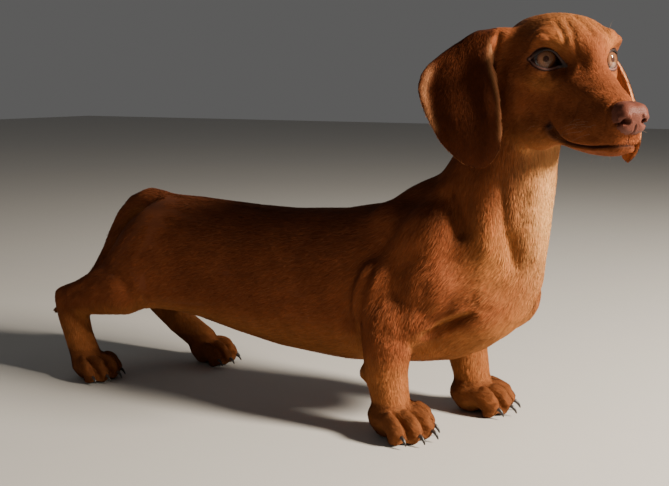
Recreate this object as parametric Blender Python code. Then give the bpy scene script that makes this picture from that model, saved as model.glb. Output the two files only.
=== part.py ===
"""Standing smooth-haired dachshund, life size, in named solid parts.

Metres, +Z up, head towards +X, the dog's left towards +Y, soles on z = 0.
The body is modelled whole from lofts and muscle bellies, fused, and then
parted into nodes with thin cuts.
"""

import math

import bmesh
import bpy
from mathutils import Matrix, Vector

# ---- driving dimensions, metres and degrees -------------------------------

RIGHT_FORE = (0.150, -0.056)   # middle of each paw on the floor
LEFT_FORE = (0.183, 0.050)
RIGHT_HIND = (-0.208, -0.056)
LEFT_HIND = (-0.140, 0.058)

EYE_POINT = (0.2908, -0.0299, 0.3265)   # midway between the eyes
HEAD_TURN = -44.0              # about +Z, minus is towards the dog's right
HEAD_NOD = 10.6                # nose down
HEAD_SCALE = 1.04
EYE_RADIUS = 0.0105
EYE_FORWARD = -0.0024
EYE_APART = 0.0246
EYE_HEIGHT = -0.0014

EAR_BULGE = 0.06               # depth of the hollow against the width
EAR_ROOT = 0.25                # width at the root against the full width
EAR_WIDEST = 0.42              # how far down an ear is widest
EAR_TAPER = 2.4                # higher keeps the lower half fuller
RIGHT_EAR_WIDTH = 0.070
LEFT_EAR_WIDTH = 0.058
RIGHT_EAR_HEADING = 184.0      # front edge to rear edge, about +Z
LEFT_EAR_HEADING = 140.0
# midrib of each ear, root to tip, as a cubic curve's control points
RIGHT_MIDRIB = ((0.220, -0.036, 0.353), (0.175, -0.047, 0.323),
                (0.217, -0.064, 0.275), (0.216, -0.046, 0.236))
LEFT_MIDRIB = ((0.275, 0.032, 0.353), (0.284, 0.058, 0.332),
               (0.308, 0.060, 0.280), (0.3145, 0.044, 0.239))

RIGHT_FORE_TURN = -12.0        # heading of each paw about +Z
LEFT_FORE_TURN = 10.0
RIGHT_HIND_TURN = -4.0
LEFT_HIND_TURN = 8.0
PAW_FORE = 1.06                # paw size against the drawn paw
PAW_HIND = 0.92

PARTING = 0.00035              # gap between neighbouring nodes
CLAW_GAP = 0.0004
EAR_THICKNESS = 0.0042

FINE = 0.0024                  # voxel sizes of the fused body
COARSE = 0.0045
BODY_TRIANGLES = 3900
EAR_TRIANGLES = 260
RING = 20

PAWS = (("front_right", RIGHT_FORE, RIGHT_FORE_TURN, PAW_FORE),
        ("front_left", LEFT_FORE, LEFT_FORE_TURN, PAW_FORE),
        ("hind_right", RIGHT_HIND, RIGHT_HIND_TURN, PAW_HIND),
        ("hind_left", LEFT_HIND, LEFT_HIND_TURN, PAW_HIND))

# node, middle of its cell, size of the cell, lean of the cell
CELLS = (("paw_front_right", (0.150, -0.060, 0.005), (0.120, 0.090, 0.058)),
         ("paw_front_left", (0.183, 0.060, 0.005), (0.120, 0.090, 0.058)),
         ("paw_hind_right", (-0.206, -0.060, 0.005), (0.120, 0.080, 0.058)),
         ("paw_hind_left", (-0.140, 0.062, 0.005), (0.120, 0.080, 0.058)),
         ("foreleg_right", (0.139, -0.070, 0.0600), (0.084, 0.088, 0.084), (16.0, 0.0, 0.0)),
         ("foreleg_left", (0.167, 0.068, 0.0600), (0.084, 0.088, 0.084), (-16.0, 0.0, 0.0)),
         ("hindleg_right", (-0.215, -0.073, 0.074), (0.150, 0.086, 0.079)),
         ("hindleg_left", (-0.195, 0.073, 0.074), (0.150, 0.086, 0.079)),
         ("head", (0.277, -0.038, 0.360), (0.340, 0.200, 0.200), (0.0, 36.9, -39.8)),
         ("neck", (0.235, 0.000, 0.294), (0.300, 0.200, 0.200), (0.0, 18.4, 0.0)),
         ("belly", (0.0025, 0.000, 0.120), (0.165, 0.300, 0.300)),
         ("rump", (-0.2304, 0.000, 0.120), (0.300, 0.300, 0.300)))

# colour and roughness of each finish
COAT_MATERIAL = ((0.330, 0.105, 0.035, 1.0), 0.62)
EAR_MATERIAL = ((0.215, 0.062, 0.024, 1.0), 0.66)
TAIL_MATERIAL = ((0.280, 0.085, 0.030, 1.0), 0.64)
NOSE_MATERIAL = ((0.230, 0.085, 0.065, 1.0), 0.50)
CLAW_MATERIAL = ((0.022, 0.016, 0.014, 1.0), 0.35)
EYE_MATERIAL = ((0.160, 0.085, 0.030, 1.0), 0.08)


# ---- helpers ---------------------------------------------------------------

def material(name, colour, roughness):
    mat = bpy.data.materials.new(name)
    mat.use_nodes = True
    shader = mat.node_tree.nodes["Principled BSDF"]
    shader.inputs["Base Color"].default_value = colour
    shader.inputs["Roughness"].default_value = roughness
    shader.inputs["Metallic"].default_value = 0.0
    return mat


def add_object(name, mesh):
    obj = bpy.data.objects.new(name, mesh)
    bpy.context.scene.collection.objects.link(obj)
    return obj


def drop(obj):
    mesh = obj.data
    bpy.data.objects.remove(obj, do_unlink=True)
    bpy.data.meshes.remove(mesh)


def mesh_object(name, verts, faces):
    mesh = bpy.data.meshes.new(name)
    mesh.from_pydata([tuple(v) for v in verts], [], faces)
    mesh.validate()
    bm = bmesh.new()
    bm.from_mesh(mesh)
    bmesh.ops.recalc_face_normals(bm, faces=bm.faces)
    bm.to_mesh(mesh)
    bm.free()
    return add_object(name, mesh)


def signed_power(value, power):
    return math.copysign(abs(value) ** power, value)


def loft(stations, lateral=(0.0, 1.0, 0.0), run=None, square=2.0, place=None,
         count=RING):
    """Closed tube through stations (x, y, z, half width, front, back).

    "Front" is along tangent x lateral: up for a forward run, forward for a
    run that goes down a leg.
    """
    centres = [Vector(s[:3]) for s in stations]
    side = Vector(lateral)
    verts = []
    for i, station in enumerate(stations):
        before = centres[max(i - 1, 0)]
        after = centres[min(i + 1, len(centres) - 1)]
        tangent = Vector(run) if run else (after - before).normalized()
        across = (side - side.dot(tangent) * tangent).normalized()
        front = tangent.cross(across)
        width, ahead, behind = station[3:6]
        for k in range(count):
            angle = 2.0 * math.pi * k / count
            a = signed_power(math.cos(angle), 2.0 / square)
            b = signed_power(math.sin(angle), 2.0 / square)
            depth = ahead if b > 0.0 else behind
            verts.append(centres[i] + across * (width * a) + front * (depth * b))
    faces = []
    for i in range(len(stations) - 1):
        for k in range(count):
            n = (k + 1) % count
            faces.append((i * count + k, i * count + n,
                          (i + 1) * count + n, (i + 1) * count + k))
    last = (len(stations) - 1) * count
    faces.append(tuple(range(count)))
    faces.append(tuple(range(last + count - 1, last - 1, -1)))
    obj = mesh_object("loft", verts, faces)
    if place is not None:
        obj.data.transform(place)
    return obj


def egg(centre, radii, lean=(0.0, 0.0, 0.0), place=None, detail=3):
    """Ellipsoid belly; lean is degrees about X, Y and Z."""
    bm = bmesh.new()
    bmesh.ops.create_icosphere(bm, subdivisions=detail, radius=1.0)
    mesh = bpy.data.meshes.new("egg")
    bm.to_mesh(mesh)
    bm.free()
    turn = Matrix.LocRotScale(None, rotation(lean), None)
    scale = Matrix.Diagonal((*radii, 1.0))
    mesh.transform(Matrix.Translation(centre) @ turn @ scale)
    if place is not None:
        mesh.transform(place)
    return add_object("egg", mesh)


def rotation(lean):
    rx, ry, rz = (math.radians(a) for a in lean)
    turn = Matrix.Rotation(rz, 3, "Z") @ Matrix.Rotation(ry, 3, "Y")
    return (turn @ Matrix.Rotation(rx, 3, "X")).to_quaternion()


def join(name, objects):
    bm = bmesh.new()
    for obj in objects:
        bm.from_mesh(obj.data)
    mesh = bpy.data.meshes.new(name)
    bm.to_mesh(mesh)
    bm.free()
    for obj in objects:
        drop(obj)
    return add_object(name, mesh)


def apply_modifiers(obj):
    graph = bpy.context.evaluated_depsgraph_get()
    mesh = bpy.data.meshes.new_from_object(obj.evaluated_get(graph))
    old = obj.data
    obj.modifiers.clear()
    obj.data = mesh
    bpy.data.meshes.remove(old)
    return obj


def fuse(name, objects, voxel, softening):
    """Join overlapping solids into one skin and soften where they meet."""
    obj = join(name, objects)
    remesh = obj.modifiers.new("remesh", "REMESH")
    remesh.mode = "VOXEL"
    remesh.voxel_size = voxel
    smooth = obj.modifiers.new("smooth", "SMOOTH")
    smooth.factor = 0.5
    smooth.iterations = softening
    return apply_modifiers(obj)


def thin_out(obj, triangles):
    count = sum(len(p.vertices) - 2 for p in obj.data.polygons)
    decimate = obj.modifiers.new("decimate", "DECIMATE")
    decimate.ratio = triangles / count
    decimate.use_collapse_triangulate = True
    return apply_modifiers(obj)


def boolean(obj, other, operation):
    cut = obj.modifiers.new("cut", "BOOLEAN")
    cut.operation = operation
    cut.solver = "EXACT"
    cut.object = other
    return apply_modifiers(obj)


def copy_of(obj, name):
    return add_object(name, obj.data.copy())


def grown(obj, by):
    """Copy with its surface moved outwards, to cut a neighbour clear."""
    bm = bmesh.new()
    bm.from_mesh(obj.data)
    bmesh.ops.recalc_face_normals(bm, faces=bm.faces)
    bm.normal_update()
    moves = [(v, v.normal * by) for v in bm.verts]
    for vert, move in moves:
        vert.co += move
    mesh = bpy.data.meshes.new("grown")
    bm.to_mesh(mesh)
    bm.free()
    return add_object("grown", mesh)


def cell(centre, size, lean=(0.0, 0.0, 0.0), grow=0.0):
    """Box that holds one node; grown a little where the rest is cut clear."""
    bm = bmesh.new()
    bmesh.ops.create_cube(bm, size=1.0)
    mesh = bpy.data.meshes.new("cell")
    bm.to_mesh(mesh)
    bm.free()
    turn = Matrix.LocRotScale(None, rotation(lean), None)
    scale = Matrix.Diagonal((*(s + 2.0 * grow for s in size), 1.0))
    mesh.transform(Matrix.Translation(centre) @ turn @ scale)
    return add_object("cell", mesh)


def part_off(body, name, centre, size, lean=(0.0, 0.0, 0.0)):
    """Cut the node inside the cell away from the body by a thin gap."""
    node = copy_of(body, name)
    inside = cell(centre, size, lean)
    boolean(node, inside, "INTERSECT")
    drop(inside)
    outside = cell(centre, size, lean, grow=PARTING)
    boolean(body, outside, "DIFFERENCE")
    drop(outside)
    return node


def keep_largest(obj):
    """Drop the slivers that a parting plane shaves off a neighbour."""
    bm = bmesh.new()
    bm.from_mesh(obj.data)
    unseen = set(bm.verts)
    islands = []
    while unseen:
        front = [unseen.pop()]
        island = set(front)
        while front:
            for edge in front.pop().link_edges:
                for vert in edge.verts:
                    if vert in unseen:
                        unseen.remove(vert)
                        island.add(vert)
                        front.append(vert)
        islands.append(island)
    islands.sort(key=len, reverse=True)
    strays = [vert for island in islands[1:] for vert in island]
    bmesh.ops.delete(bm, geom=strays, context="VERTS")
    bm.to_mesh(obj.data)
    bm.free()


def frame_at(point, heading, pitch=0.0, scale=1.0):
    turn = Matrix.Rotation(math.radians(heading), 4, "Z")
    turn = turn @ Matrix.Rotation(math.radians(pitch), 4, "Y")
    return Matrix.Translation(point) @ turn @ Matrix.Scale(scale, 4)


# ---- trunk -----------------------------------------------------------------

def trunk():
    """Barrel of the body from the rump to the breastbone, and the crest of the withers."""
    # x, top, keel, half width, height of the widest place
    sections = [(-0.180, 0.164, 0.124, 0.014, 0.146),
                (-0.170, 0.186, 0.104, 0.030, 0.142),
                (-0.153, 0.1965, 0.084, 0.044, 0.138),
                (-0.130, 0.1985, 0.076, 0.051, 0.134),
                (-0.090, 0.194, 0.071, 0.051, 0.128),
                (-0.045, 0.1905, 0.0545, 0.053, 0.120),
                (0.005, 0.189, 0.0425, 0.057, 0.114),
                (0.055, 0.190, 0.0455, 0.060, 0.114),
                (0.100, 0.198, 0.0515, 0.060, 0.118),
                (0.140, 0.204, 0.0550, 0.057, 0.124),
                (0.175, 0.200, 0.0610, 0.053, 0.128),
                (0.204, 0.190, 0.0730, 0.048, 0.130),
                (0.226, 0.178, 0.0900, 0.041, 0.131),
                (0.243, 0.162, 0.1100, 0.029, 0.134)]
    stations = [(x, 0.0, mid, width, top - mid, mid - keel)
                for x, top, keel, width, mid in sections]
    crest = egg((0.150, 0.0, 0.200), (0.056, 0.026, 0.022), (0, -27, 0))
    return [loft(stations, square=2.15, count=28), crest]


def neck():
    """Upright neck in level slices, from the breastbone into the skull."""
    # height, x, y, half width, ahead, behind
    slices = [(0.108, 0.176, 0.000, 0.044, 0.070, 0.050),
              (0.134, 0.184, 0.000, 0.049, 0.074, 0.060),
              (0.165, 0.187, 0.000, 0.048, 0.073, 0.070),
              (0.188, 0.190, 0.000, 0.046, 0.071, 0.064),
              (0.206, 0.195, 0.001, 0.043, 0.067, 0.053),
              (0.226, 0.204, 0.003, 0.041, 0.060, 0.042),
              (0.250, 0.215, 0.006, 0.039, 0.052, 0.038),
              (0.278, 0.226, 0.010, 0.037, 0.044, 0.037),
              (0.304, 0.234, 0.013, 0.034, 0.038, 0.032),
              (0.326, 0.238, 0.015, 0.028, 0.028, 0.026)]
    stations = [(x, y, z, width, ahead, behind)
                for z, x, y, width, ahead, behind in slices]
    return [loft(stations, lateral=(0.0, -1.0, 0.0), run=(0.0, 0.0, 1.0), count=24)]


def shoulder(side, shift):
    """Shoulder blade, point of shoulder, upper arm and breast muscle."""
    x = shift
    return [egg((0.132 + x, side * 0.026, 0.178), (0.026, 0.018, 0.030), (0, -20, 0)),
            egg((0.162 + x, side * 0.037, 0.168), (0.034, 0.022, 0.040), (0, 22, 0)),
            egg((0.170 + x, side * 0.042, 0.138), (0.036, 0.023, 0.034)),
            egg((0.130 + x, side * 0.046, 0.126), (0.034, 0.021, 0.038), (0, -20, 0)),
            egg((0.152 + x, side * 0.048, 0.106), (0.030, 0.020, 0.026)),
            egg((0.204 + 0.5 * x, side * 0.026, 0.122), (0.036, 0.026, 0.036))]


def haunch(side, shift):
    """Hip, thigh and the muscle that runs down to the stifle."""
    x = shift
    return [egg((-0.146 + x, side * 0.031, 0.152), (0.042, 0.024, 0.040)),
            egg((-0.146 + x, side * 0.043, 0.118), (0.046, 0.020, 0.040), (0, 10, 0)),
            egg((-0.174 + x, side * 0.040, 0.128), (0.022, 0.018, 0.042), (0, 26, 0)),
            egg((-0.112 + x, side * 0.040, 0.098), (0.040, 0.014, 0.022), (0, 8, 0))]


# ---- legs ------------------------------------------------------------------

TOE_SPREAD = (-0.0158, -0.0058, 0.0058, 0.0158)
TOE_REACH = (0.0200, 0.0280, 0.0280, 0.0200)
TOE_TURN = (-14.0, -5.0, 5.0, 14.0)


def toe_axis(index):
    """Root offset, reach and unit direction of one toe in the paw's frame."""
    turn = math.radians(TOE_TURN[index])
    return TOE_SPREAD[index], TOE_REACH[index], math.cos(turn), math.sin(turn)


def paw(middle, heading, size):
    """Four arched toes, their pads and the heel pad, about the middle."""
    place = frame_at((*middle, 0.0), heading, scale=size)
    pieces = [egg((-0.006, 0.0, 0.0165), (0.022, 0.0215, 0.0145), place=place),
              egg((-0.008, 0.0, 0.0040), (0.0130, 0.0150, 0.0054), place=place)]
    for index in range(4):
        offset, reach, c, s = toe_axis(index)
        # run along the toe, height, half width, above, below
        profile = [(-0.020, 0.0185, 0.0066, 0.0070, 0.0070),
                   (-0.013, 0.0200, 0.0074, 0.0080, 0.0080),
                   (-0.006, 0.0160, 0.0078, 0.0088, 0.0090),
                   (0.000, 0.0115, 0.0074, 0.0086, 0.0086),
                   (0.0055, 0.0085, 0.0048, 0.0054, 0.0054)]
        toe = [((reach + run) * c - 0.004, offset + (reach + run) * s * 0.9,
                height, width, above, below)
               for run, height, width, above, below in profile]
        pieces.append(loft(toe, place=place, count=14))
        pad_at = reach - 0.004
        pieces.append(egg((pad_at * c - 0.004, offset + pad_at * s * 0.9, 0.0036),
                          (0.0072, 0.0060, 0.0050), place=place))
    return pieces


def claws(label, middle, heading, size):
    """Four curved claws, each set into the end of its toe."""
    place = frame_at((*middle, 0.0), heading, scale=size)
    made = []
    for index in range(4):
        offset, reach, c, s = toe_axis(index)
        # run past the toe, height, half width, half depth
        profile = [(-0.0010, 0.0100, 0.0018, 0.0022),
                   (0.0040, 0.0104, 0.0021, 0.0025),
                   (0.0074, 0.0088, 0.0017, 0.0020),
                   (0.0098, 0.0060, 0.0012, 0.0014),
                   (0.0110, 0.0030, 0.0006, 0.0007)]
        stations = [((reach + run) * c - 0.004, offset + (reach + run) * s * 0.9,
                     height, width, depth, depth)
                    for run, height, width, depth in profile]
        obj = loft(stations, lateral=(-s, c, 0.0), place=place, count=6)
        obj.name = f"claw_{label}_{index + 1}"
        made.append(obj)
    return made


def foreleg(side, elbow, wrist, foot, heading):
    """Short thick forearm, wrist with its stopper pad, and pastern."""
    ex, ey, ez = elbow
    wx, wy, wz = wrist
    fx, fy = foot
    # x, y, z, half width, ahead, behind
    arm = [(ex - 0.004, ey * 0.86, ez + 0.034, 0.0150, 0.0220, 0.0200),
           (ex - 0.002, ey * 0.95, ez + 0.014, 0.0200, 0.0270, 0.0250),
           (ex, ey, ez - 0.006, 0.0215, 0.0250, 0.0245),
           ((ex + wx) / 2, (ey + wy) / 2, (ez + wz) / 2 - 0.004,
            0.0195, 0.0215, 0.0220),
           (wx, wy, wz, 0.0180, 0.0190, 0.0195),
           ((wx + fx) / 2 - 0.002, (wy + fy) / 2, wz * 0.62,
            0.0170, 0.0172, 0.0178),
           (fx - 0.008, fy, 0.0185, 0.0180, 0.0160, 0.0150)]
    pad = egg((wx - 0.0200, wy + side * 0.002, wz - 0.001), (0.0070, 0.0075, 0.0090))
    return [loft(arm), pad] + paw(foot, heading, PAW_FORE)


def hindleg(stifle, hock, foot, heading):
    """Second thigh back to the hock, its point, and the upright rear pastern."""
    sx, sy, sz = stifle
    hx, hy, hz = hock
    fx, fy = foot
    second = [(sx + 0.022, sy * 0.86, sz + 0.004, 0.0150, 0.0240, 0.0220),
              (sx, sy, sz, 0.0210, 0.0290, 0.0270),
              ((sx + hx) / 2, (sy + hy) / 2, (sz + hz) / 2 + 0.001,
               0.0190, 0.0240, 0.0230),
              (hx + 0.010, hy, hz + 0.003, 0.0160, 0.0190, 0.0180),
              (hx - 0.004, hy, hz + 0.004, 0.0120, 0.0130, 0.0130)]
    heel = [(hx - 0.014, hy, hz + 0.012, 0.0085, 0.0090, 0.0090),
            (hx - 0.009, hy, hz + 0.003, 0.0130, 0.0170, 0.0130),
            (hx, hy, hz - 0.016, 0.0150, 0.0190, 0.0165),
            (hx * 0.55 + fx * 0.45 - 0.005, (hy + fy) / 2, hz * 0.54,
             0.0145, 0.0160, 0.0155),
            (fx - 0.012, fy, 0.0240, 0.0160, 0.0160, 0.0145),
            (fx - 0.006, fy, 0.0140, 0.0160, 0.0140, 0.0120)]
    return [loft(second), loft(heel)] + paw(foot, heading, PAW_HIND)


def tail():
    """Tail that follows the croup down and trails past the hocks."""
    # x, y, z, radius
    line = [(-0.132, 0.000, 0.1720, 0.0080),
            (-0.152, 0.000, 0.1830, 0.0130),
            (-0.172, 0.000, 0.1860, 0.0132),
            (-0.191, 0.000, 0.1785, 0.0125),
            (-0.207, 0.000, 0.1635, 0.0115),
            (-0.220, 0.001, 0.1455, 0.0105),
            (-0.234, 0.003, 0.1250, 0.0093),
            (-0.254, 0.006, 0.1020, 0.0080),
            (-0.282, 0.009, 0.0770, 0.0064),
            (-0.310, 0.011, 0.0580, 0.0046),
            (-0.332, 0.012, 0.0450, 0.0024)]
    stations = [(x, y, z, r, r, r) for x, y, z, r in line]
    return loft(stations, count=10)


# ---- head ------------------------------------------------------------------

def head(place):
    """Skull, muzzle, cheeks, brows and lips, in the head's own frame."""
    # x, top, underside, half width, height of the widest place
    sections = [(-0.090, 0.002, -0.022, 0.014, -0.010),
                (-0.080, 0.013, -0.042, 0.027, -0.012),
                (-0.062, 0.0255, -0.056, 0.0370, -0.012),
                (-0.040, 0.0308, -0.065, 0.0410, -0.014),
                (-0.020, 0.0323, -0.071, 0.0405, -0.016),
                (-0.006, 0.0288, -0.071, 0.0328, -0.020),
                (0.009, 0.0150, -0.069, 0.0252, -0.032),
                (0.025, 0.0035, -0.0660, 0.0236, -0.037),
                (0.042, -0.0050, -0.0635, 0.0210, -0.038),
                (0.060, -0.0110, -0.0605, 0.0185, -0.037),
                (0.0765, -0.0165, -0.0565, 0.0155, -0.036),
                (0.0858, -0.0225, -0.0505, 0.0108, -0.036)]
    stations = [(x, 0.0, mid, width, top - mid, mid - under)
                for x, top, under, width, mid in sections]
    pieces = [loft(stations, square=2.35, place=place, count=24)]
    for side in (-1.0, 1.0):
        pieces += [
            # brow, cheekbone, jaw muscle, corner of the jaw, upper lip
            egg((-0.0060, side * 0.0235, 0.0125), (0.0160, 0.0108, 0.0090),
                (0, -4, side * 34), place),
            egg((-0.014, side * 0.0310, -0.0160), (0.0230, 0.0095, 0.0085),
                (0, 6, side * -24), place),
            egg((-0.032, side * 0.0310, -0.0320), (0.0240, 0.0125, 0.0240),
                place=place),
            egg((-0.012, side * 0.0230, -0.0560), (0.0280, 0.0130, 0.0170),
                (0, 8, side * -10), place),
            egg((0.044, side * 0.0125, -0.0390), (0.0330, 0.0110, 0.0150),
                (0, 4, side * -7), place),
        ]
    return pieces


def ear_roots():
    """Mounds on the skull that carry the ears."""
    return [egg((0.2290, -0.0300, 0.3410), (0.0130, 0.0110, 0.0130)),
            egg((0.2770, 0.0270, 0.3430), (0.0130, 0.0110, 0.0130))]


def nose_body(place):
    return egg((0.0825, 0.0, -0.0268), (0.0105, 0.0122, 0.0115), (0, 12, 0), place,
               detail=2)


def nose(place):
    """Nose leather with a shallow pit for each nostril."""
    obj = nose_body(place)
    for side in (-1.0, 1.0):
        pit = egg((0.0903, side * 0.0066, -0.0278), (0.0050, 0.0026, 0.0024),
                  (0, 12, side * -24), place, detail=2)
        boolean(obj, pit, "DIFFERENCE")
        drop(pit)
    obj.name = "nose"
    return obj


def mouth(place, side):
    """Narrow groove between the lips of one side, as a cutter."""
    line = [(0.0160, 0.0270, -0.0440), (0.0250, 0.0225, -0.0485),
            (0.0370, 0.0185, -0.0520), (0.0560, 0.0155, -0.0512),
            (0.0710, 0.0128, -0.0487), (0.0800, 0.0095, -0.0472)]
    stations = [(x, side * y, z, 0.0007, 0.0036, 0.0036) for x, y, z in line]
    return loft(stations, lateral=(0.0, 0.0, 1.0), place=place, count=8)


def eyeball(side, place, grow=0.0):
    radius = EYE_RADIUS / HEAD_SCALE + grow
    at = (EYE_FORWARD, side * EYE_APART, EYE_HEIGHT)
    return egg(at, (radius, radius, radius), place=place, detail=2)


def bezier(points, t):
    """Point on the cubic curve through the first and last control points."""
    a, b, c, d = (Vector(p) for p in points)
    r = 1.0 - t
    return a * r ** 3 + b * (3.0 * r * r * t) + c * (3.0 * r * t * t) + d * t ** 3


def leaf_width(t):
    """Share of the full width at t down the ear: narrow root, round tip."""
    if t < EAR_WIDEST:
        rise = t / EAR_WIDEST
        return EAR_ROOT + (1.0 - EAR_ROOT) * rise * rise * (3.0 - 2.0 * rise)
    fall = (t - EAR_WIDEST) / (1.0 - EAR_WIDEST)
    return max(1.0 - fall ** EAR_TAPER, 0.01) ** 0.5


def ear(name, midrib, heading, width, side):
    """Leathery leaf hung along its midrib and bulged away from the head."""
    across = 8
    along = 12
    run = Vector((math.cos(math.radians(heading)), math.sin(math.radians(heading)), 0.0))
    outward = Vector((-run.y, run.x, 0.0))
    if outward.y * side < 0.0:
        outward = -outward
    verts = []
    for row in range(along + 1):
        middle = bezier(midrib, row / along)
        reach = width * leaf_width(row / along)
        for k in range(across + 1):
            t = k / across
            bulge = math.sin(math.pi * t) * EAR_BULGE * reach
            verts.append(middle + run * (reach * (t - 0.5)) + outward * bulge)
    faces = []
    for row in range(along):
        for k in range(across):
            a = row * (across + 1) + k
            faces.append((a, a + 1, a + across + 2, a + across + 1))
    obj = mesh_object(name, verts, faces)
    solid = obj.modifiers.new("thickness", "SOLIDIFY")
    solid.thickness = EAR_THICKNESS
    solid.offset = 0.0
    subsurf = obj.modifiers.new("round", "SUBSURF")
    subsurf.levels = 1
    subsurf.render_levels = 1
    apply_modifiers(obj)
    return thin_out(obj, EAR_TRIANGLES)


# ---- assembly --------------------------------------------------------------

def flesh(place):
    """The whole dog but its ears, tail, nose leather, eyes and claws."""
    limbs = (foreleg(-1.0, (0.138, -0.055, 0.096), (0.138, -0.055, 0.055),
                     RIGHT_FORE, RIGHT_FORE_TURN)
             + foreleg(1.0, (0.160, 0.052, 0.096), (0.170, 0.050, 0.055),
                       LEFT_FORE, LEFT_FORE_TURN)
             + hindleg((-0.170, -0.050, 0.100), (-0.236, -0.056, 0.082),
                       RIGHT_HIND, RIGHT_HIND_TURN)
             + hindleg((-0.150, 0.050, 0.100), (-0.212, 0.058, 0.078),
                       LEFT_HIND, LEFT_HIND_TURN))
    masses = (trunk() + neck() + shoulder(-1.0, 0.0) + shoulder(1.0, 0.018)
              + haunch(-1.0, 0.0) + haunch(1.0, 0.012))
    torso = fuse("torso", masses, COARSE, 5)
    limbs = fuse("limbs", limbs, FINE, 2)
    skull = fuse("skull", head(place) + ear_roots(), FINE, 3)
    body = fuse("body", [torso, limbs, skull], FINE, 5)
    return thin_out(body, BODY_TRIANGLES)


def carve(body, cutter):
    boolean(body, cutter, "DIFFERENCE")
    drop(cutter)


def flatten_soles(body):
    """Trim everything below the floor so that each pad has a small flat."""
    carve(body, cell((0.0, 0.0, -0.05), (1.2, 0.6, 0.1)))


def build():
    for obj in list(bpy.data.objects):
        bpy.data.objects.remove(obj, do_unlink=True)

    place = frame_at(EYE_POINT, HEAD_TURN, HEAD_NOD, HEAD_SCALE)
    body = flesh(place)
    flatten_soles(body)

    soft = [ear("ear_right", RIGHT_MIDRIB, RIGHT_EAR_HEADING, RIGHT_EAR_WIDTH, -1.0),
            ear("ear_left", LEFT_MIDRIB, LEFT_EAR_HEADING, LEFT_EAR_WIDTH, 1.0)]
    for obj in soft:
        carve(obj, grown(body, PARTING))

    tail_solid = tail()
    tail_solid.name = "tail"
    nose_solid = nose(place)
    carve(body, grown(tail_solid, PARTING))
    seat = nose_body(place)
    carve(body, grown(seat, PARTING))
    drop(seat)
    carve(body, mouth(place, -1.0))
    carve(body, mouth(place, 1.0))
    eyes = []
    for side, label in ((-1.0, "right"), (1.0, "left")):
        obj = eyeball(side, place)
        obj.name = f"eye_{label}"
        eyes.append(obj)
        carve(body, eyeball(side, place, grow=PARTING))

    nails = []
    for label, middle, heading, size in PAWS:
        for claw in claws(label, middle, heading, size):
            nails.append(claw)
            carve(body, grown(claw, CLAW_GAP))

    coated = [part_off(body, *spec) for spec in CELLS]
    body.name = "chest"
    coated.append(body)
    for obj in coated:
        keep_largest(obj)
    finish(coated, COAT_MATERIAL)
    finish(soft, EAR_MATERIAL)
    finish([tail_solid], TAIL_MATERIAL)
    finish([nose_solid], NOSE_MATERIAL)
    finish(eyes, EYE_MATERIAL)
    finish(nails, CLAW_MATERIAL)
    return centre_on_floor(coated + soft + eyes + nails + [tail_solid, nose_solid])


def finish(nodes, spec):
    """Give every node its own material and let its curves shade smooth."""
    colour, roughness = spec
    for obj in nodes:
        obj.data.materials.clear()
        obj.data.materials.append(material(obj.name + "_finish", colour, roughness))
        for polygon in obj.data.polygons:
            polygon.use_smooth = True
            polygon.material_index = 0


def centre_on_floor(nodes):
    """Slide the dog so that the middle of its outline is over the origin."""
    corners = [Vector(v.co) for obj in nodes for v in obj.data.vertices]
    middle_x = (min(c.x for c in corners) + max(c.x for c in corners)) / 2.0
    middle_y = (min(c.y for c in corners) + max(c.y for c in corners)) / 2.0
    slide = Matrix.Translation((-middle_x, -middle_y, 0.0))
    for obj in nodes:
        obj.data.transform(slide)
    return middle_x, middle_y


if __name__ == "__main__":
    build()
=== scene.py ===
"""Life-size still model of a smooth-haired dachshund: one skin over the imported
solids, a coat of fine flat tufts, glass eyes, horn claws and a few whiskers."""
import math

import bpy
import numpy as np
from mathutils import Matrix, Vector
from mathutils.bvhtree import BVHTree


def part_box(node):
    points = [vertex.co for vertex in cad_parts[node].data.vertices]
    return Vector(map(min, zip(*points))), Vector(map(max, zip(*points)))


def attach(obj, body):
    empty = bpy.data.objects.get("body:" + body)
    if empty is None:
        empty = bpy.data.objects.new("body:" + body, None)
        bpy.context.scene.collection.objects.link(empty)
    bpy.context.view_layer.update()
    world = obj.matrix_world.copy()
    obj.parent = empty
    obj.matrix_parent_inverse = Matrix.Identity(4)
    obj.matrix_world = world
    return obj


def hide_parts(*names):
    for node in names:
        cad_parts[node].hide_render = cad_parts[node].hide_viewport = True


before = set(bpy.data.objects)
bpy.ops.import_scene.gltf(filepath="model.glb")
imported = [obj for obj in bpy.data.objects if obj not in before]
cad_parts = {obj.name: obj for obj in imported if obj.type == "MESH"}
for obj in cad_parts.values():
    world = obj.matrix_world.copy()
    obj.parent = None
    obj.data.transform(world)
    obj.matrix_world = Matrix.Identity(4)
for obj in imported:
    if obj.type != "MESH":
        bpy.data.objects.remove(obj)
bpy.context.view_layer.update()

# ---- where things are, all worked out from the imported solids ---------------

LEG_ENDS = [f"{end}_{side}" for end in ("foreleg", "hindleg") for side in ("right", "left")]
PAWS = [f"paw_{end}_{side}" for end in ("front", "hind") for side in ("right", "left")]
EARS = ["ear_right", "ear_left"]
FLESH = ["head", "nose", "neck", "chest", "belly", "rump", "tail"] + EARS + LEG_ENDS + PAWS
PART = {name: index for index, name in enumerate(FLESH)}

MM = 0.001
NOSE_BELOW = math.radians(16.65)   # nose centre below the head's forward axis
NOSE_AHEAD = 88.6                  # of the eyes, on a head of plain size
EYE_SET = (-2.4, 0, -1.4)          # midway between the eyes, in the head's frame
BROW_POINT = (290.8, -29.9, 326.5)   # the head frame's origin on the drawing


def middle(node):
    low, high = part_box(node)
    return (low + high) / 2.0


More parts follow.
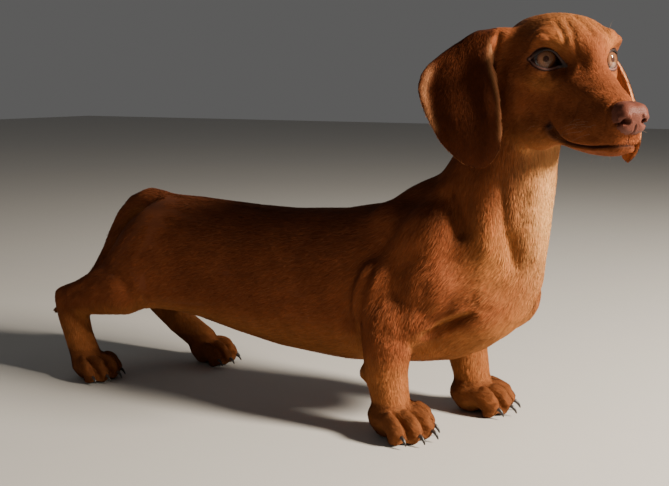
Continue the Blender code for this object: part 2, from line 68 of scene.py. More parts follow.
def head_frame():
    """Origin, axes (forwards, left, up) and size of a drawn millimetre of the head."""
    right, left, nose = middle("eye_right"), middle("eye_left"), middle("nose")
    between = (right + left) / 2.0
    lateral = (left - right).normalized()
    aim = nose - between
    aim -= lateral * aim.dot(lateral)
    level = lateral.cross(Vector((0.0, 0.0, 1.0)))
    slope = math.atan2(-aim.z, aim.dot(level)) - NOSE_BELOW
    forward = level * math.cos(slope) - Vector((0.0, 0.0, math.sin(slope)))
    axes = np.array([forward, lateral, forward.cross(lateral)])
    unit = aim.length / NOSE_AHEAD
    return np.array(between) - np.array(EYE_SET) @ axes * unit, axes, unit


HEAD_AT, HEAD_AXES, HEAD_UNIT = head_frame()
BODY_AT = (HEAD_AT - MM * np.array(BROW_POINT)) * (1, 1, 0)


def on_head(points):
    """Where points of the head's frame, in its millimetres, are on the model."""
    return np.asarray(points, float) @ HEAD_AXES * HEAD_UNIT + HEAD_AT


def in_head(points):
    return (np.asarray(points) - HEAD_AT) @ HEAD_AXES.T / HEAD_UNIT


def on_body(points):
    """Where points of the drawing of the body, in millimetres, are on the model."""
    return MM * np.asarray(points, float) + BODY_AT


def in_body(points):
    return (np.asarray(points) - BODY_AT) / MM


def mirrored(points, sign=-1):
    return np.asarray(points, float) * (1, sign, 1)


def smooth_step(value, low, high):
    t = np.clip((value - low) / (high - low), 0.0, 1.0)
    return t * t * (3.0 - 2.0 * t)


def unit_rows(vectors):
    return vectors / np.maximum(np.linalg.norm(vectors, axis=1, keepdims=True), 1e-12)


def bend(points, steps=8, closed=False):
    """Smooth line through a few points (Catmull-Rom)."""
    points = np.asarray(points, float)
    if closed:
        padded = np.vstack([points[-1:], points, points[:2]])
    else:
        padded = np.vstack([2 * points[0] - points[1], points, 2 * points[-1] - points[-2]])
    made = []
    for a, b, c, d in zip(padded[:-3], padded[1:-2], padded[2:-1], padded[3:]):
        for t in np.arange(steps) / steps:
            made.append(0.5 * (2 * b + (c - a) * t + (2 * a - 5 * b + 4 * c - d) * t ** 2
                               + (3 * b - a - 3 * c + d) * t ** 3))
    if not closed:
        made.append(points[-1])
    return np.array(made)


def soft_spot(points, centre, reach):
    """1 at the centre of a soft spot, 0 far from it."""
    return np.exp(-(((points - np.asarray(centre)) / np.asarray(reach)) ** 2).sum(axis=1))


def both_spots(points, centre, reach):
    """The same soft spot on both sides of the middle."""
    return np.maximum(soft_spot(points, centre, reach), soft_spot(mirrored(points), centre, reach))


def ring_faces(rows, steps):
    """Triangles between rings of points, each ring with as many points."""
    tri = []
    for row in range(rows - 1):
        for k in range(steps):
            a, b = row * steps + k, row * steps + (k + 1) % steps
            tri += [(a, a + steps, b), (b, a + steps, b + steps)]
    return np.array(tri)


def joined(parts):
    """Several pairs of points and triangles as one pair."""
    starts = np.cumsum([0] + [len(co) for co, tri in parts])
    return (np.vstack([co for co, tri in parts]),
            np.vstack([tri + start for (co, tri), start in zip(parts, starts)]))


def near_line(points, line):
    """Distance of each point to a bent line, and how far along it, from 0 to 1."""
    spans = np.linalg.norm(np.diff(line, axis=0), axis=1)
    starts = np.concatenate([[0.0], np.cumsum(spans)])
    best = np.full(len(points), np.inf)
    along = np.zeros(len(points))
    for a, b, start, span in zip(line[:-1], line[1:], starts, spans):
        t = np.clip((points - a) @ (b - a) / max(span ** 2, 1e-12), 0.0, 1.0)
        away = np.linalg.norm(points - a - t[:, None] * (b - a), axis=1)
        closer = away < best
        best[closer] = away[closer]
        along[closer] = (start + t[closer] * span) / starts[-1]
    return best, along


# ---- the skin as arrays ----------------------------------------------------

class Skin:
    """Points and triangles of the skin, with the part that each point belongs to."""

    def __init__(self, co, tri):
        self.co = co
        self.tri = tri
        self.part = None

    def pairs(self):
        """Every two points that share an edge, and the edges of each triangle."""
        ends = np.sort(self.tri[:, [[0, 1], [1, 2], [2, 0]]], axis=2).reshape(-1, 2)
        keys, where = np.unique(ends[:, 0] * len(self.co) + ends[:, 1], return_inverse=True)
        return np.stack([keys // len(self.co), keys % len(self.co)], axis=1), where.reshape(-1, 3)

    def normals(self):
        a, b, c = (self.co[self.tri[:, k]] for k in range(3))
        face = np.cross(b - a, c - a)
        total = np.zeros_like(self.co)
        for k in range(3):
            for axis in range(3):
                total[:, axis] += np.bincount(self.tri[:, k], face[:, axis], len(self.co))
        return unit_rows(total)

    def steady_normals(self, rounds):
        """Normals that leave out the small wrinkles."""
        return unit_rows(self.spread(self.normals(), rounds))

    def spread(self, values, rounds, strength=0.5, weight=None):
        """Averages values between neighbours, for a number of rounds."""
        edges = self.pairs()[0]
        a, b = edges[:, 0], edges[:, 1]
        count = np.bincount(np.concatenate([a, b]), minlength=len(self.co)).astype(float)
        weight = 1.0 if weight is None else weight[:, None]
        values = values.reshape(len(self.co), -1).astype(float)
        for turn in range(rounds):
            amount = strength[turn % 2] if isinstance(strength, tuple) else strength
            total = np.stack([np.bincount(a, values[b, k], len(self.co))
                              + np.bincount(b, values[a, k], len(self.co))
                              for k in range(values.shape[1])], axis=1)
            values = values + amount * weight * (total / count[:, None] - values)
        return values

    def relax(self, rounds, weight=None, strength=(0.5, -0.53)):
        """Smooths the facets away; the default keeps the size of rounded forms."""
        self.co = self.spread(self.co, rounds, strength, weight)

    def refine(self, chosen):
        """Splits the chosen triangles in four and joins them up with the others."""
        edges, of_face = self.pairs()
        split = np.zeros(len(edges), bool)
        split[of_face[chosen]] = True
        new = np.full(len(edges), -1)
        new[split] = len(self.co) + np.arange(split.sum())
        ends = edges[split]
        full = np.hstack([self.tri, new[of_face]])     # the corners, then the middles
        count = (full[:, 3:] >= 0).sum(axis=1)
        made = [full[count == 0][:, :3]]
        quarters = full[count == 3]
        made += [quarters[:, some] for some in ((0, 3, 5), (3, 1, 4), (5, 4, 2), (3, 4, 5))]
        for k in range(3):
            turn = [(k + i) % 3 for i in range(3)]
            turned = full[:, turn + [3 + i for i in turn]]
            one = turned[(count == 1) & (turned[:, 3] >= 0)]
            two = turned[(count == 2) & (turned[:, 5] < 0)]
            made += [one[:, some] for some in ((0, 3, 2), (3, 1, 2))]
            made += [two[:, some] for some in ((3, 1, 4), (0, 3, 4), (0, 4, 2))]
        self.co = np.vstack([self.co, (self.co[ends[:, 0]] + self.co[ends[:, 1]]) / 2.0])
        self.part = np.concatenate([self.part, self.part[ends[:, 0]]])
        self.tri = np.vstack(made)

    def of(self, *names):
        """True for the points that belong to the named parts."""
        return np.isin(self.part, [PART[name] for name in names])

    def tree(self, *names):
        """Search tree of the named parts, or of the whole skin."""
        picked = self.of(*names)[self.tri].all(axis=1) if names else slice(None)
        return BVHTree.FromPolygons(self.co.tolist(), self.tri[picked].tolist())

    def push(self, amount):
        """Moves each point along its normal by its own amount."""
        self.co = self.co + self.normals() * amount[:, None]

    def stroke(self, line, width, height, within, ends=0.2, side=None, normals=None):
        """Raises a rounded ridge along a line, or presses a groove where height < 0."""
        reach = np.linalg.norm(line - line.mean(axis=0), axis=1).max() + 3.5 * width
        picked = np.linalg.norm(self.co - line.mean(axis=0), axis=1) < reach
        picked = np.flatnonzero(picked & within)
        away, along = near_line(self.co[picked], line)
        fade = smooth_step(along, -1e-6, ends) * smooth_step(1.0 - along, -1e-6, ends)
        amount = np.exp(-(away / width) ** 2) * height * fade
        normals = (self.normals() if normals is None else normals)[picked]
        if side is not None:
            amount *= smooth_step(normals @ np.asarray(side), 0.0, 0.35)
        self.co[picked] += normals * amount[:, None]

    def swell(self, centre, radii, height, within, side):
        """Raises a soft mound on one side, or presses a hollow where height < 0."""
        amount = np.where(within, soft_spot(self.co, centre, radii) * height, 0.0)
        self.push(amount * smooth_step(self.normals() @ np.asarray(side), 0.0, 0.35))


def mesh_object(name, co, tri):
    """A new mesh object from points and triangles."""
    mesh = bpy.data.meshes.new(name)
    mesh.vertices.add(len(co))
    mesh.vertices.foreach_set("co", np.ascontiguousarray(co, np.float32).ravel())
    mesh.loops.add(tri.size)
    mesh.loops.foreach_set("vertex_index", np.ascontiguousarray(tri, np.int32).ravel())
    mesh.polygons.add(len(tri))
    mesh.polygons.foreach_set("loop_start", np.arange(0, tri.size, tri.shape[1], dtype=np.int32))
    mesh.polygons.foreach_set("use_smooth", np.full(len(tri), True))
    mesh.update(calc_edges=True)
    obj = bpy.data.objects.new(name, mesh)
    bpy.context.scene.collection.objects.link(obj)
    return obj


def arrays_of(obj):
    """Points and triangles of an object after its modifiers."""
    ready = obj.evaluated_get(bpy.context.evaluated_depsgraph_get()).to_mesh()
    ready.calc_loop_triangles()
    co = np.empty(len(ready.vertices) * 3, np.float32)
    ready.vertices.foreach_get("co", co)
    tri = np.empty(len(ready.loop_triangles) * 3, np.int32)
    ready.loop_triangles.foreach_get("vertices", tri)
    return co.reshape(-1, 3).astype(float), tri.reshape(-1, 3).astype(np.int64)


def solid_arrays(node):
    """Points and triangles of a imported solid, with its split corners joined again."""
    co, tri = arrays_of(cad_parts[node])
    keys = np.round(co * 1e5).astype(np.int64)
    _, first, where = np.unique(keys, axis=0, return_index=True, return_inverse=True)
    tri = where.reshape(-1)[tri]
    solid = (tri[:, 0] != tri[:, 1]) & (tri[:, 1] != tri[:, 2]) & (tri[:, 2] != tri[:, 0])
    return co[first], tri[solid]


# ---- the skin: fuse the solids, round them and lower them under the coat ---

CLOSE_GAPS = 0.45 * MM   # each solid swells by this to meet its neighbours
GRAIN = 1.8 * MM         # voxel size of the fused skin
EAR_CLEAR = 2.6 * MM     # how far the ears are lifted off the cheek and neck
EAR_REACH = 10 * MM      # from the flesh, inside which they are lifted
EAR_ROOT = (0.16, 0.55)  # shares down an ear, between which it comes free of the head
# centre and half sizes of the flesh that closes the front of each ear's root
EAR_BRIDGES = (((219.5, -36.5, 335), (11, 7.5, 15)), ((224, -30, 317), (9, 9, 20)),
    ((275, 37, 335), (8, 11, 15)))


def ball(centre, radii, rows=12):
    """A closed egg as points and triangles."""
    steps = 2 * rows
    high = np.repeat(math.pi * np.arange(rows + 1) / rows, steps)
    turn = np.tile(2.0 * math.pi * np.arange(steps) / steps, rows + 1)
    co = np.stack([np.sin(high) * np.cos(turn), np.sin(high) * np.sin(turn), np.cos(high)], axis=1)
    return co * radii + centre, ring_faces(rows + 1, steps)


def fused_skin():
    """One closed skin through all the flesh, with the ears free below their roots."""
    solids = {node: solid_arrays(node) for node in FLESH + ["eye_right", "eye_left"]}
    under = Skin(*joined([solids[node] for node in ("head", "neck", "chest")])).tree()
    parts = []
    for node, (co, tri) in solids.items():
        solid = Skin(co, tri)
        solid.push(np.full(len(co), CLOSE_GAPS))
        if node in EARS:
            low, high = co[:, 2].min(), co[:, 2].max()
            for index, point in enumerate(solid.co):
                free = smooth_step((high - point[2]) / (high - low), *EAR_ROOT)
                at, _, _, away = under.find_nearest(Vector(point))
                lift = EAR_CLEAR * max(1.0 - away / EAR_REACH, 0.0) * free
                if away > 1e-6:
                    solid.co[index] += (point - np.array(at)) / away * lift
        parts.append((solid.co, tri))
    parts += [ball(on_body(centre), MM * np.array(radii)) for centre, radii in EAR_BRIDGES]
    rough = mesh_object("rough", *joined(parts))
    fuse = rough.modifiers.new("fuse", "REMESH")
    fuse.mode = "VOXEL"
    fuse.voxel_size = GRAIN
    skin = Skin(*arrays_of(rough))
    bpy.data.objects.remove(rough)
    find_parts(skin, solids)
    return skin


def find_parts(skin, solids):
    """Gives each point of the skin the flesh node that lies nearest to it."""
    tree = Skin(*joined([solids[node] for node in FLESH])).tree()
    owner = np.repeat(np.arange(len(FLESH)), [len(solids[node][1]) for node in FLESH])
    skin.part = np.array([owner[tree.find_nearest(point)[2]] for point in skin.co.tolist()])


def thinned(skin, share, keep):
    """The skin with fewer triangles away from the kept points."""
    obj = mesh_object("thinned", skin.co, skin.tri)
    group = obj.vertex_groups.new(name="plain")
    for level in np.unique(np.round(keep, 1)):
        picked = np.flatnonzero(np.round(keep, 1) == level)
        group.add(picked.tolist(), float(1.0 - level), "REPLACE")
    fewer = obj.modifiers.new("fewer", "DECIMATE")
    fewer.ratio = share
    fewer.vertex_group = "plain"
    fewer.vertex_group_factor = 1.0
    made = Skin(*arrays_of(obj))
    bpy.data.objects.remove(obj)
    return made


SOFTNESS = (("head", 0.55), ("ear_right", 0.5), ("ear_left", 0.5), ("tail", 0.6), ("nose", 0.2))
# the withers and the root of the tail, where the line of the back runs smoothly
TOP_LINE = (((132, 0, 205), 36), ((-148, 0, 187), 30))


def round_off(skin):
    """Smooths away the facets of the solids, each part by its own amount."""
    softness = np.full(len(skin.co), 1.0)
    softness[skin.of(*PAWS)] = 0.12
    softness[skin.of(*LEG_ENDS)] = 0.6
    for name, amount in SOFTNESS:
        softness[skin.of(name)] = amount
    softness = skin.spread(softness, 6)[:, 0]
    fused = skin.co.copy()
    skin.relax(60, softness)
    drawn = in_body(skin.co)
    barrel = smooth_step(drawn[:, 0], -125, -75) * smooth_step(-drawn[:, 0], -115, -65)
    barrel *= skin.of("belly", "rump", "chest")
    neck = skin.of("neck") * smooth_step(-drawn[:, 2], -270, -240)
    barrel = np.maximum(barrel, 0.6 * neck)
    for spot, reach in TOP_LINE:
        barrel = np.maximum(barrel, soft_spot(drawn, spot, reach))
    plain = skin.spread(barrel, 10)[:, 0]
    skin.relax(60, plain, 0.5)
    for _ in range(4):
        skin.co += skin.spread(fused - skin.co, 32) * plain[:, None]
    head = np.abs(in_head(skin.co) + (6, 0, -8))
    brow = soft_spot(head, (0, 24, 0), (22, 16, 20))
    face = (0.25 + brow) * skin.of("head") + 0.4 * skin.of(*EARS)
    skin.relax(36, np.clip(skin.spread(face, 4)[:, 0], 0.0, 1.0), 0.5)


skin = fused_skin()
round_off(skin)
fine = np.maximum(skin.of("head", "nose", "tail", *EARS, *PAWS),
                  0.5 * skin.of("chest", "neck", *LEG_ENDS))
skin = thinned(skin, 0.66, skin.spread(fine, 5)[:, 0])
find_parts(skin, {node: solid_arrays(node) for node in FLESH})

COAT_DEPTH = {"nose": 0.0, "head": 0.7, "ear_right": 0.4, "ear_left": 0.4, "tail": 0.8}
depth = np.full(len(skin.co), 1.1)
for name, amount in COAT_DEPTH.items():
    depth[skin.of(name)] = amount
depth[skin.of(*PAWS)] = 0.6
depth[skin.of(*LEG_ENDS)] = 0.9
skin.push(-MM * skin.spread(depth, 8)[:, 0])

# ---- muscles and folds of the body, in millimetres of the drawing ----------

NEAR = (0.0, -1.0, 0.15)
FAR = (0.0, 1.0, 0.15)
BODY_PARTS = skin.of("neck", "chest", "belly", "rump", "head", *LEG_ENDS)
FORE_STRIDE = 30         # the left shoulder stands this far ahead of the right one
HIND_STRIDE = 62         # and the left thigh this far
SHOULDERS = (((176.4, -52.7, 189.3), 4.2, NEAR), ((200, 52.7, 185), 3.8, FAR))

# name: points, half width, height
FOLDS = {
    "furrow of the neck": (((227, -33.7, 242), (232, -33.5, 214), (236.5, -33.6, 190),
        (242, -30.5, 170), (246.2, -26.6, 152)), 5.2, -4.6),
    "foot of the furrow": (((237.5, -33, 190), (242.5, -30.5, 172), (246.5, -26.6, 150)),
        8.5, -4.6),
    "muscle of the neck": (((220, -34.4, 245), (219, -36.8, 211.7), (220, -39.6, 191.1),
        (227, -38, 158)), 11, 4),
    "column of the throat": (((253, -20, 245), (257, -15, 211.3), (257.3, -14, 177.5),
        (256.9, -11, 145)), 11, 3),
    "valley by the shoulder": (((176, -37, 226), (187, -40, 210), (195, -42.5, 198),
        (201, -45, 186), (205, -45.2, 174)), 8, -9.2),
    "rear edge of the blade": (((162.9, -35, 218.3), (151.8, -45, 204), (140.1, -52, 186.7),
        (128.7, -56, 168.9), (122, -60, 150)), 7, -3.4),
    "valley of the upper arm": (((148, -60, 164), (151, -64, 145), (149, -66, 118)), 7, -2.8),
    "second valley of the arm": (((176, -60, 150), (178, -62, 135), (174, -64, 120)), 6, -1),
    "fold of the armpit": (((220, -47, 119), (212.1, -50.2, 114.5), (196.5, -49, 107),
        (181.6, -50.7, 98.5), (170, -59.5, 91)), 3.8, -7),
    "edge of the upper arm": (((215, -50, 122.5), (196.5, -51, 115), (181.6, -53, 107),
        (170, -59.5, 99)), 5.8, 4),
    "pucker of the breast": (((216, -46.2, 141), (219, -48.2, 125.3), (233.8, -39.3, 121.7)),
        3, -1.4),
    "crook of the elbow": (((135, -70, 101), (148, -72, 95), (162, -69, 92)), 5, -2),
    "groove behind the folds": (((128.6, -54, 174.7), (116.9, -56, 156.4), (107.1, -58, 133.6),
        (101.1, -58, 110.4), (103.1, -56, 88.4)), 4.8, -3.2),
    "first fold of the elbow": (((124.4, -57, 157.2), (114.3, -60, 133.7), (108.9, -61, 111.9),
        (110.9, -59, 90.9)), 4, 3.4),
    "groove of the elbow": (((130.9, -58, 154.4), (120.8, -61, 131.9), (116, -63, 111.2),
        (120, -61, 93.4)), 3, -3.4),
    "second fold of the elbow": (((138.2, -59, 155.2), (128.8, -63, 132.2), (124.7, -66, 111),
        (129.6, -64, 93.4)), 4.4, 2.6),
    "wrinkle of the wrist": (((160, -70, 56), (148, -74, 52), (135, -72, 54)), 2.6, -1.2),
    "swell of the wrist": (((162, -68, 63), (148, -74, 60), (135, -72, 62)), 3.4, 1),
    "front of the thigh": (((-112, -48, 150), (-102, -52, 125), (-90, -50, 105)), 9, -1.8),
    "rear of the thigh": (((-175, -45, 155), (-190, -56, 125), (-208, -62, 102)), 6, 1.4),
    "hollow of the hock": (((-198, -70, 101), (-215, -69, 96), (-228, -67, 90)), 4.8, -1.8),
}


def press_folds(skin):
    """Folds of the right side, and the same on the left a stride further on."""
    steady = skin.steady_normals(12)
    for points, width, height in FOLDS.values():
        line = np.array(points, float)
        x, z = line[:, 0], line[:, 2]
        ahead = FORE_STRIDE * smooth_step(x, -60, 100) * smooth_step(-z, -200, -120)
        ahead += HIND_STRIDE * smooth_step(-x, 60, 120) * smooth_step(-z, -160, -100)
        for sign, shift, side in ((1, 0.0, NEAR), (-1, ahead, FAR)):
            place = mirrored(line, sign)
            place[:, 0] += shift
            skin.stroke(bend(on_body(place)), MM * width, MM * height, BODY_PARTS, side=side,
                        normals=steady)
    skin.relax(3, BODY_PARTS.astype(float), 0.5)


press_folds(skin)
for spot, height, side in SHOULDERS:
    skin.swell(on_body(spot), (16 * MM, 20 * MM, 20 * MM), MM * height, BODY_PARTS, side)

# ---- the head: eye openings, mouth, nose and wrinkles ----------------------

EYE_BALL = 10.1          # millimetres on a head of plain size
LID = 1.3                # thickness of a lid over the eyeball
LID_LEVEL = 3.1          # how far ahead of the eyeball's centre the corners lie
# corner at the temple, upper lid, corner at the nose, lower lid
LID_OUTER = ((13.5, -0.9), (10.6, 2.4), (7.6, 5.8), (3.4, 8.9), (-1.6, 9.9), (-6.6, 8.2),
             (-11.2, 4.6), (-18.4, -2.2), (-13.9, -3.9), (-9.2, -5.8), (-4.6, -6.9),
             (0.2, -6.4), (4.8, -5.0), (9.4, -3.2))
LID_INNER = ((10.3, -0.5), (7.9, 1.5), (5.1, 3.9), (2.0, 6.3), (-1.8, 7.8), (-5.9, 6.8),
             (-9.1, 3.9), (-13.0, -1.0), (-10.3, -2.4), (-7.7, -3.9), (-4.3, -4.7),
             (-0.4, -4.4), (3.5, -3.3), (7.3, -1.8))
SIDES = {"right": -1.0, "left": 1.0}
EYE_SPLAY = math.radians(43.5)     # of the eye openings from straight ahead


class Eye:
    """Place of one eye: a towards the temple, b up, c out between the lids."""

    def __init__(self, side):
        sign = SIDES[side]
        self.centre = np.array(middle("eye_" + side))
        ahead, aside = math.cos(EYE_SPLAY), sign * math.sin(EYE_SPLAY)
        axes = np.array(((-abs(aside), sign * ahead, 0.0), (0.0, 0.0, 1.0), (ahead, aside, 0.0)))
        self.axes = axes @ HEAD_AXES

    def inside(self, points):
        return (np.asarray(points) - self.centre) @ self.axes.T / HEAD_UNIT

    def outside(self, points):
        return np.asarray(points) @ self.axes * HEAD_UNIT + self.centre


EYES = {side: Eye(side) for side in SIDES}


def over_ball(flat, radius, level):
    """Height of points (a, b) on a ball, but never under the level."""
    return np.sqrt(np.maximum(radius ** 2 - (flat ** 2).sum(axis=1), level ** 2))


def lid_curves():
    """Outer and inner edge of the lids, in the eye's own frame."""
    outer = bend(LID_OUTER, 6, closed=True)
    inner = bend(LID_INNER, 6, closed=True)
    outer = np.column_stack([outer, over_ball(outer, EYE_BALL + LID, LID_LEVEL)])
    inner = np.column_stack([inner, over_ball(inner, EYE_BALL + 0.05, LID_LEVEL - 0.1)])
    return outer, inner


LID_EDGE, LID_OPENING = lid_curves()
LID_LOOP = np.vstack([LID_EDGE, LID_EDGE[:1]])
LID_FLAT = LID_EDGE[:, :2]


def within_loop(points, loop):
    """True for the flat points inside a closed loop."""
    inside = np.zeros(len(points), bool)
    for a, b in zip(loop, np.roll(loop, -1, axis=0)):
        crosses = (a[1] > points[:, 1]) != (b[1] > points[:, 1])
        at = a[0] + (points[:, 1] - a[1]) / (b[1] - a[1] + 1e-12) * (b[0] - a[0])
        inside ^= crosses & (points[:, 0] < at)
    return inside


def open_lids(skin, eye):
    """Brings the skin to the lids' outer edge and sinks it behind the eyeball inside."""
    local = eye.inside(skin.co)
    picked = np.flatnonzero((np.linalg.norm(local[:, :2] + (2.0, 0.0), axis=1) < 30.0)
                            & (local[:, 2] > -9.0) & skin.of("head"))
    local = local[picked]
    away, along = near_line(local[:, :2], LID_LOOP[:, :2])
    spans = np.linalg.norm(np.diff(LID_LOOP[:, :2], axis=0), axis=1)
    shares = np.cumsum([0.0, *spans]) / spans.sum()
    at = np.stack([np.interp(along, shares, column) for column in LID_LOOP.T], axis=1)
    edge = at[:, 2]
    inside = within_loop(local[:, :2], LID_FLAT)
    hold = 1.0 - smooth_step(away, 0.0, 8.0)
    out = local[:, 2] * (1.0 - hold) + (edge + 0.10 * away) * hold
    behind = over_ball(local[:, :2], EYE_BALL - 1.7, 0.0) - 0.8
    sunk = edge + (behind - edge) * smooth_step(away, 0.0, 1.3)
    close = away < 0.33
    local[close, :2] = at[close, :2]
    local[:, 2] = np.where(inside, sunk, out)
    skin.co[picked] = eye.outside(local)


NOSE_AT = (82.5, 0, -26.8)
NOSE_RADII = (10.5, 12.2, 11.5)
NOSE_SQUARE = 3.4        # 2 is a plain egg, more is squarer
NOSTRIL = (90.3, 6.6, -27.8)
NOSTRIL_RADII = (6, 2.7, 2.5)
NOSTRIL_DEPTH = (-5.456, 0.62, 0.744)
# name: points on the right half of the head, half width, height
FACE = {
    "lips": (((15, -24.5, -45.5), (20.5, -21.5, -50), (26.2, -19.5, -53.5), (35.1, -16.5, -55.8),
        (57.1, -14.8, -53), (77.5, -10.7, -47.8), (84.5, -4, -46), (85.5, 1, -45.5)), 0.9, -2.2),
    "corner of the mouth": (((13.2, -21.5, -49), (15.5, -20, -51.8), (19, -18.5, -54.7),
        (23, -16.5, -57.1), (29.6, -15.9, -57.7)), 2.4, -5),
    "upper lip": (((24, -20.5, -48), (37, -18, -51.5), (57.1, -16, -49), (77, -12, -44.5)),
        3, 1.6),
    "lower lip": (((26.2, -18, -57.5), (35.1, -15.5, -59), (57.1, -14, -56), (76, -10, -51),
        (82.5, 0, -50)), 2.2, 1.2),
    "fold behind the mouth": (((11, -25, -48), (15, -24, -54.5), (24, -20, -60)), 2.8, 1.4),
    "cheek groove": (((8, -27, -50), (10, -25, -58), (18, -20, -64)), 3, -1),
    "inner wrinkle of the brow": (((-12, -8, 29), (2, -10, 21.5), (15, -8, 10), (22, -7, 2)),
        1.8, -1.3),
    "outer wrinkle of the brow": (((-10, -16, 27), (4, -18, 19), (13, -15, 11)), 1.8, -1.2),
    "middle wrinkle of the brow": (((-18, 0, 31), (-2, 1, 24.5), (12, 0, 8)), 2.4, -1.4),
    "ridge of the brow": (((8, -13, 12), (0, -21, 13), (-12, -29, 10)), 4, 1),
    "fold over the lid": (((12, -17, 3), (5, -22.5, 11.5), (-5, -29, 11), (-13, -33.5, 4)),
        1.6, -0.9),
    "pouch under the eye": (((17, -16.5, -10), (8, -25, -12), (-4, -33.5, -10)), 3, 0.9),
    "edge of the cheekbone": (((12, -24, -20), (-4, -34, -19), (-20, -40, -15)), 5, 1.1),
    "side of the bridge": (((20, -15, -14), (40, -13.5, -17), (62, -11, -20)), 4.5, 0.9),
    "hollow of the muzzle": (((18, -22, -28), (34, -20, -31), (48, -18, -32)), 7, -1.6),
    "edge of the nose": (((70, 0, -18), (73, -8, -20), (75.5, -12, -26.5), (77, -11.5, -33.5),
        (79, -5, -38.5)), 1, -0.8),
    "slit of the nostril": (((90.3, -6.6, -27.8), (88, -10.2, -30), (83, -12, -31.6)), 0.9, -2.6),
    "wing of the nose": (((93, -4, -23.2), (91.2, -8.2, -23.6), (86.8, -11, -26.2)), 1.7, 1),
    "philtrum": (((94, 0, -29), (92.5, 0, -34.5), (89, 0, -39.5), (87.5, 0, -42)), 0.7, -0.8),
    "top of the nose": (((76, 0, -16.5), (85, 0, -16.5), (92.5, 0, -21.5)), 3, -0.7),
}
# place on the left half of the head, half sizes and height
HOLLOWS = (((15, 19, 1), (12, 9.5, 11.5), -5), ((29.2, 12.5, 4), (12, 7, 10), -4.4),
    ((0, 26, 15), (11, 10, 7), 1.6), ((-4, 34.5, 10), (12, 8, 8), 2.6),
    ((1, 33, -13), (12, 10, 7), 2.2))
# the wide dark at the corner of the mouth is dark lip and painted shade in its fold
LIP_WIDTHS = {"lips": 1.2 * MM, "corner of the mouth": 2.7 * MM, "philtrum": 0.6 * MM}
LIP_LINES = []           # the lines of dark bare skin, with their half width


def on_skin(tree, line):
    """The line moved onto the nearest skin and made even again."""
    found = np.array([tuple(tree.find_nearest(Vector(point))[0]) for point in line])
    for _ in range(2):
        found[1:-1] = 0.25 * found[:-2] + 0.5 * found[1:-1] + 0.25 * found[2:]
    return found


def shape_face(skin):
    """All the lines of the face, on both sides."""
    head = skin.of("head", "nose")
    square = in_head(skin.co) - NOSE_AT
    share = np.abs(square / NOSE_RADII) + 1e-9
    corner = np.linalg.norm(share, axis=1)
    corner /= (share ** NOSE_SQUARE).sum(axis=1) ** (1 / NOSE_SQUARE)
    onto = smooth_step(skin.spread(skin.of("nose"), 3)[:, 0], 0.2, 0.8)
    skin.co += square * (0.75 * (corner - 1.0) * onto)[:, None] @ HEAD_AXES * HEAD_UNIT
    for sign in (-1, 1):
        for spot, radii, height in HOLLOWS:
            amount = soft_spot(in_head(skin.co), mirrored(spot, sign), radii) * head
            skin.push(skin.spread(amount * height * HEAD_UNIT, 2)[:, 0])
    steady = skin.steady_normals(3)
    tree = skin.tree()
    for name, (points, width, height) in FACE.items():
        on_middle = all(abs(point[1]) < 2 for point in points)
        for sign in (1,) if on_middle else (1, -1):
            line = on_skin(tree, on_head(bend(mirrored(points, sign))))
            skin.stroke(line, width * HEAD_UNIT, height * HEAD_UNIT, head, ends=0.12,
                        normals=steady)
            if name in LIP_WIDTHS:
                LIP_LINES.append((line, LIP_WIDTHS[name]))
    for sign in (1, -1):
        local = (in_head(skin.co) - mirrored(NOSTRIL, sign)) / NOSTRIL_RADII
        pit = 1.0 - smooth_step(np.linalg.norm(local, axis=1), 0.45, 1.1)
        skin.co += mirrored(NOSTRIL_DEPTH, sign) @ HEAD_AXES * HEAD_UNIT * (pit * head)[:, None]


def refine_near(skin, spots):
    """Splits the triangles that lie near any of the spots (points, reach)."""
    centres = skin.co[skin.tri].mean(axis=1)
    chosen = np.zeros(len(centres), bool)
    of_face = np.isin(skin.part[skin.tri[:, 0]], [PART["head"], PART["nose"]])
    for points, reach in spots:
        for point in np.atleast_2d(points):
            chosen |= np.linalg.norm(centres - point, axis=1) < reach
    skin.refine(chosen & of_face)


eye_spots = [(eye.outside((-2.0, 1.0, 4.0)), 22 * MM) for eye in EYES.values()]
muzzle = on_head([(60, y, -45) for y in (-10, 10)])
lips = np.vstack([on_head(bend(mirrored(FACE["lips"][0], sign), 3)) for sign in (1, -1)])
nose = np.array(middle("nose"))
refine_near(skin, eye_spots + [(muzzle, 30 * MM), (lips, 10 * MM), (nose, 20 * MM)])
refine_near(skin, [(spot, 17.5 * MM) for spot, reach in eye_spots]
            + [(lips, 5 * MM), (nose, 15 * MM)])
skin.relax(4, skin.of("head", "nose").astype(float), 0.5)
shape_face(skin)
for eye in EYES.values():
    open_lids(skin, eye)
    local = eye.inside(skin.co)
    ring = near_line(local[:, :2], LID_LOOP[:, :2])[0]
    around = smooth_step(ring, 0.2, 1.2) * smooth_step(-ring, -11.0, -7.0)
    around *= (local[:, 2] > -2.0) & ~within_loop(local[:, :2], LID_FLAT)
    skin.relax(6, around * skin.of("head"), 0.5)

# ---- the ears: rolled front edge, hollow blade, flared rear edge -----------

EAR_RUNS = {"ear_right": (184.0, -1.0), "ear_left": (140.0, 1.0)}   # heading, side
EAR_ROWS = 24            # levels at which an ear's edges are found


def ear_directions(name):
    """Level directions along an ear's blade to the rear, and away from the head."""
    heading, sign = EAR_RUNS[name]
    run = np.array((math.cos(math.radians(heading)), math.sin(math.radians(heading)), 0.0))
    outward = np.array((-run[1], run[0], 0.0))
    return run, outward * math.copysign(1.0, outward[1] * sign)


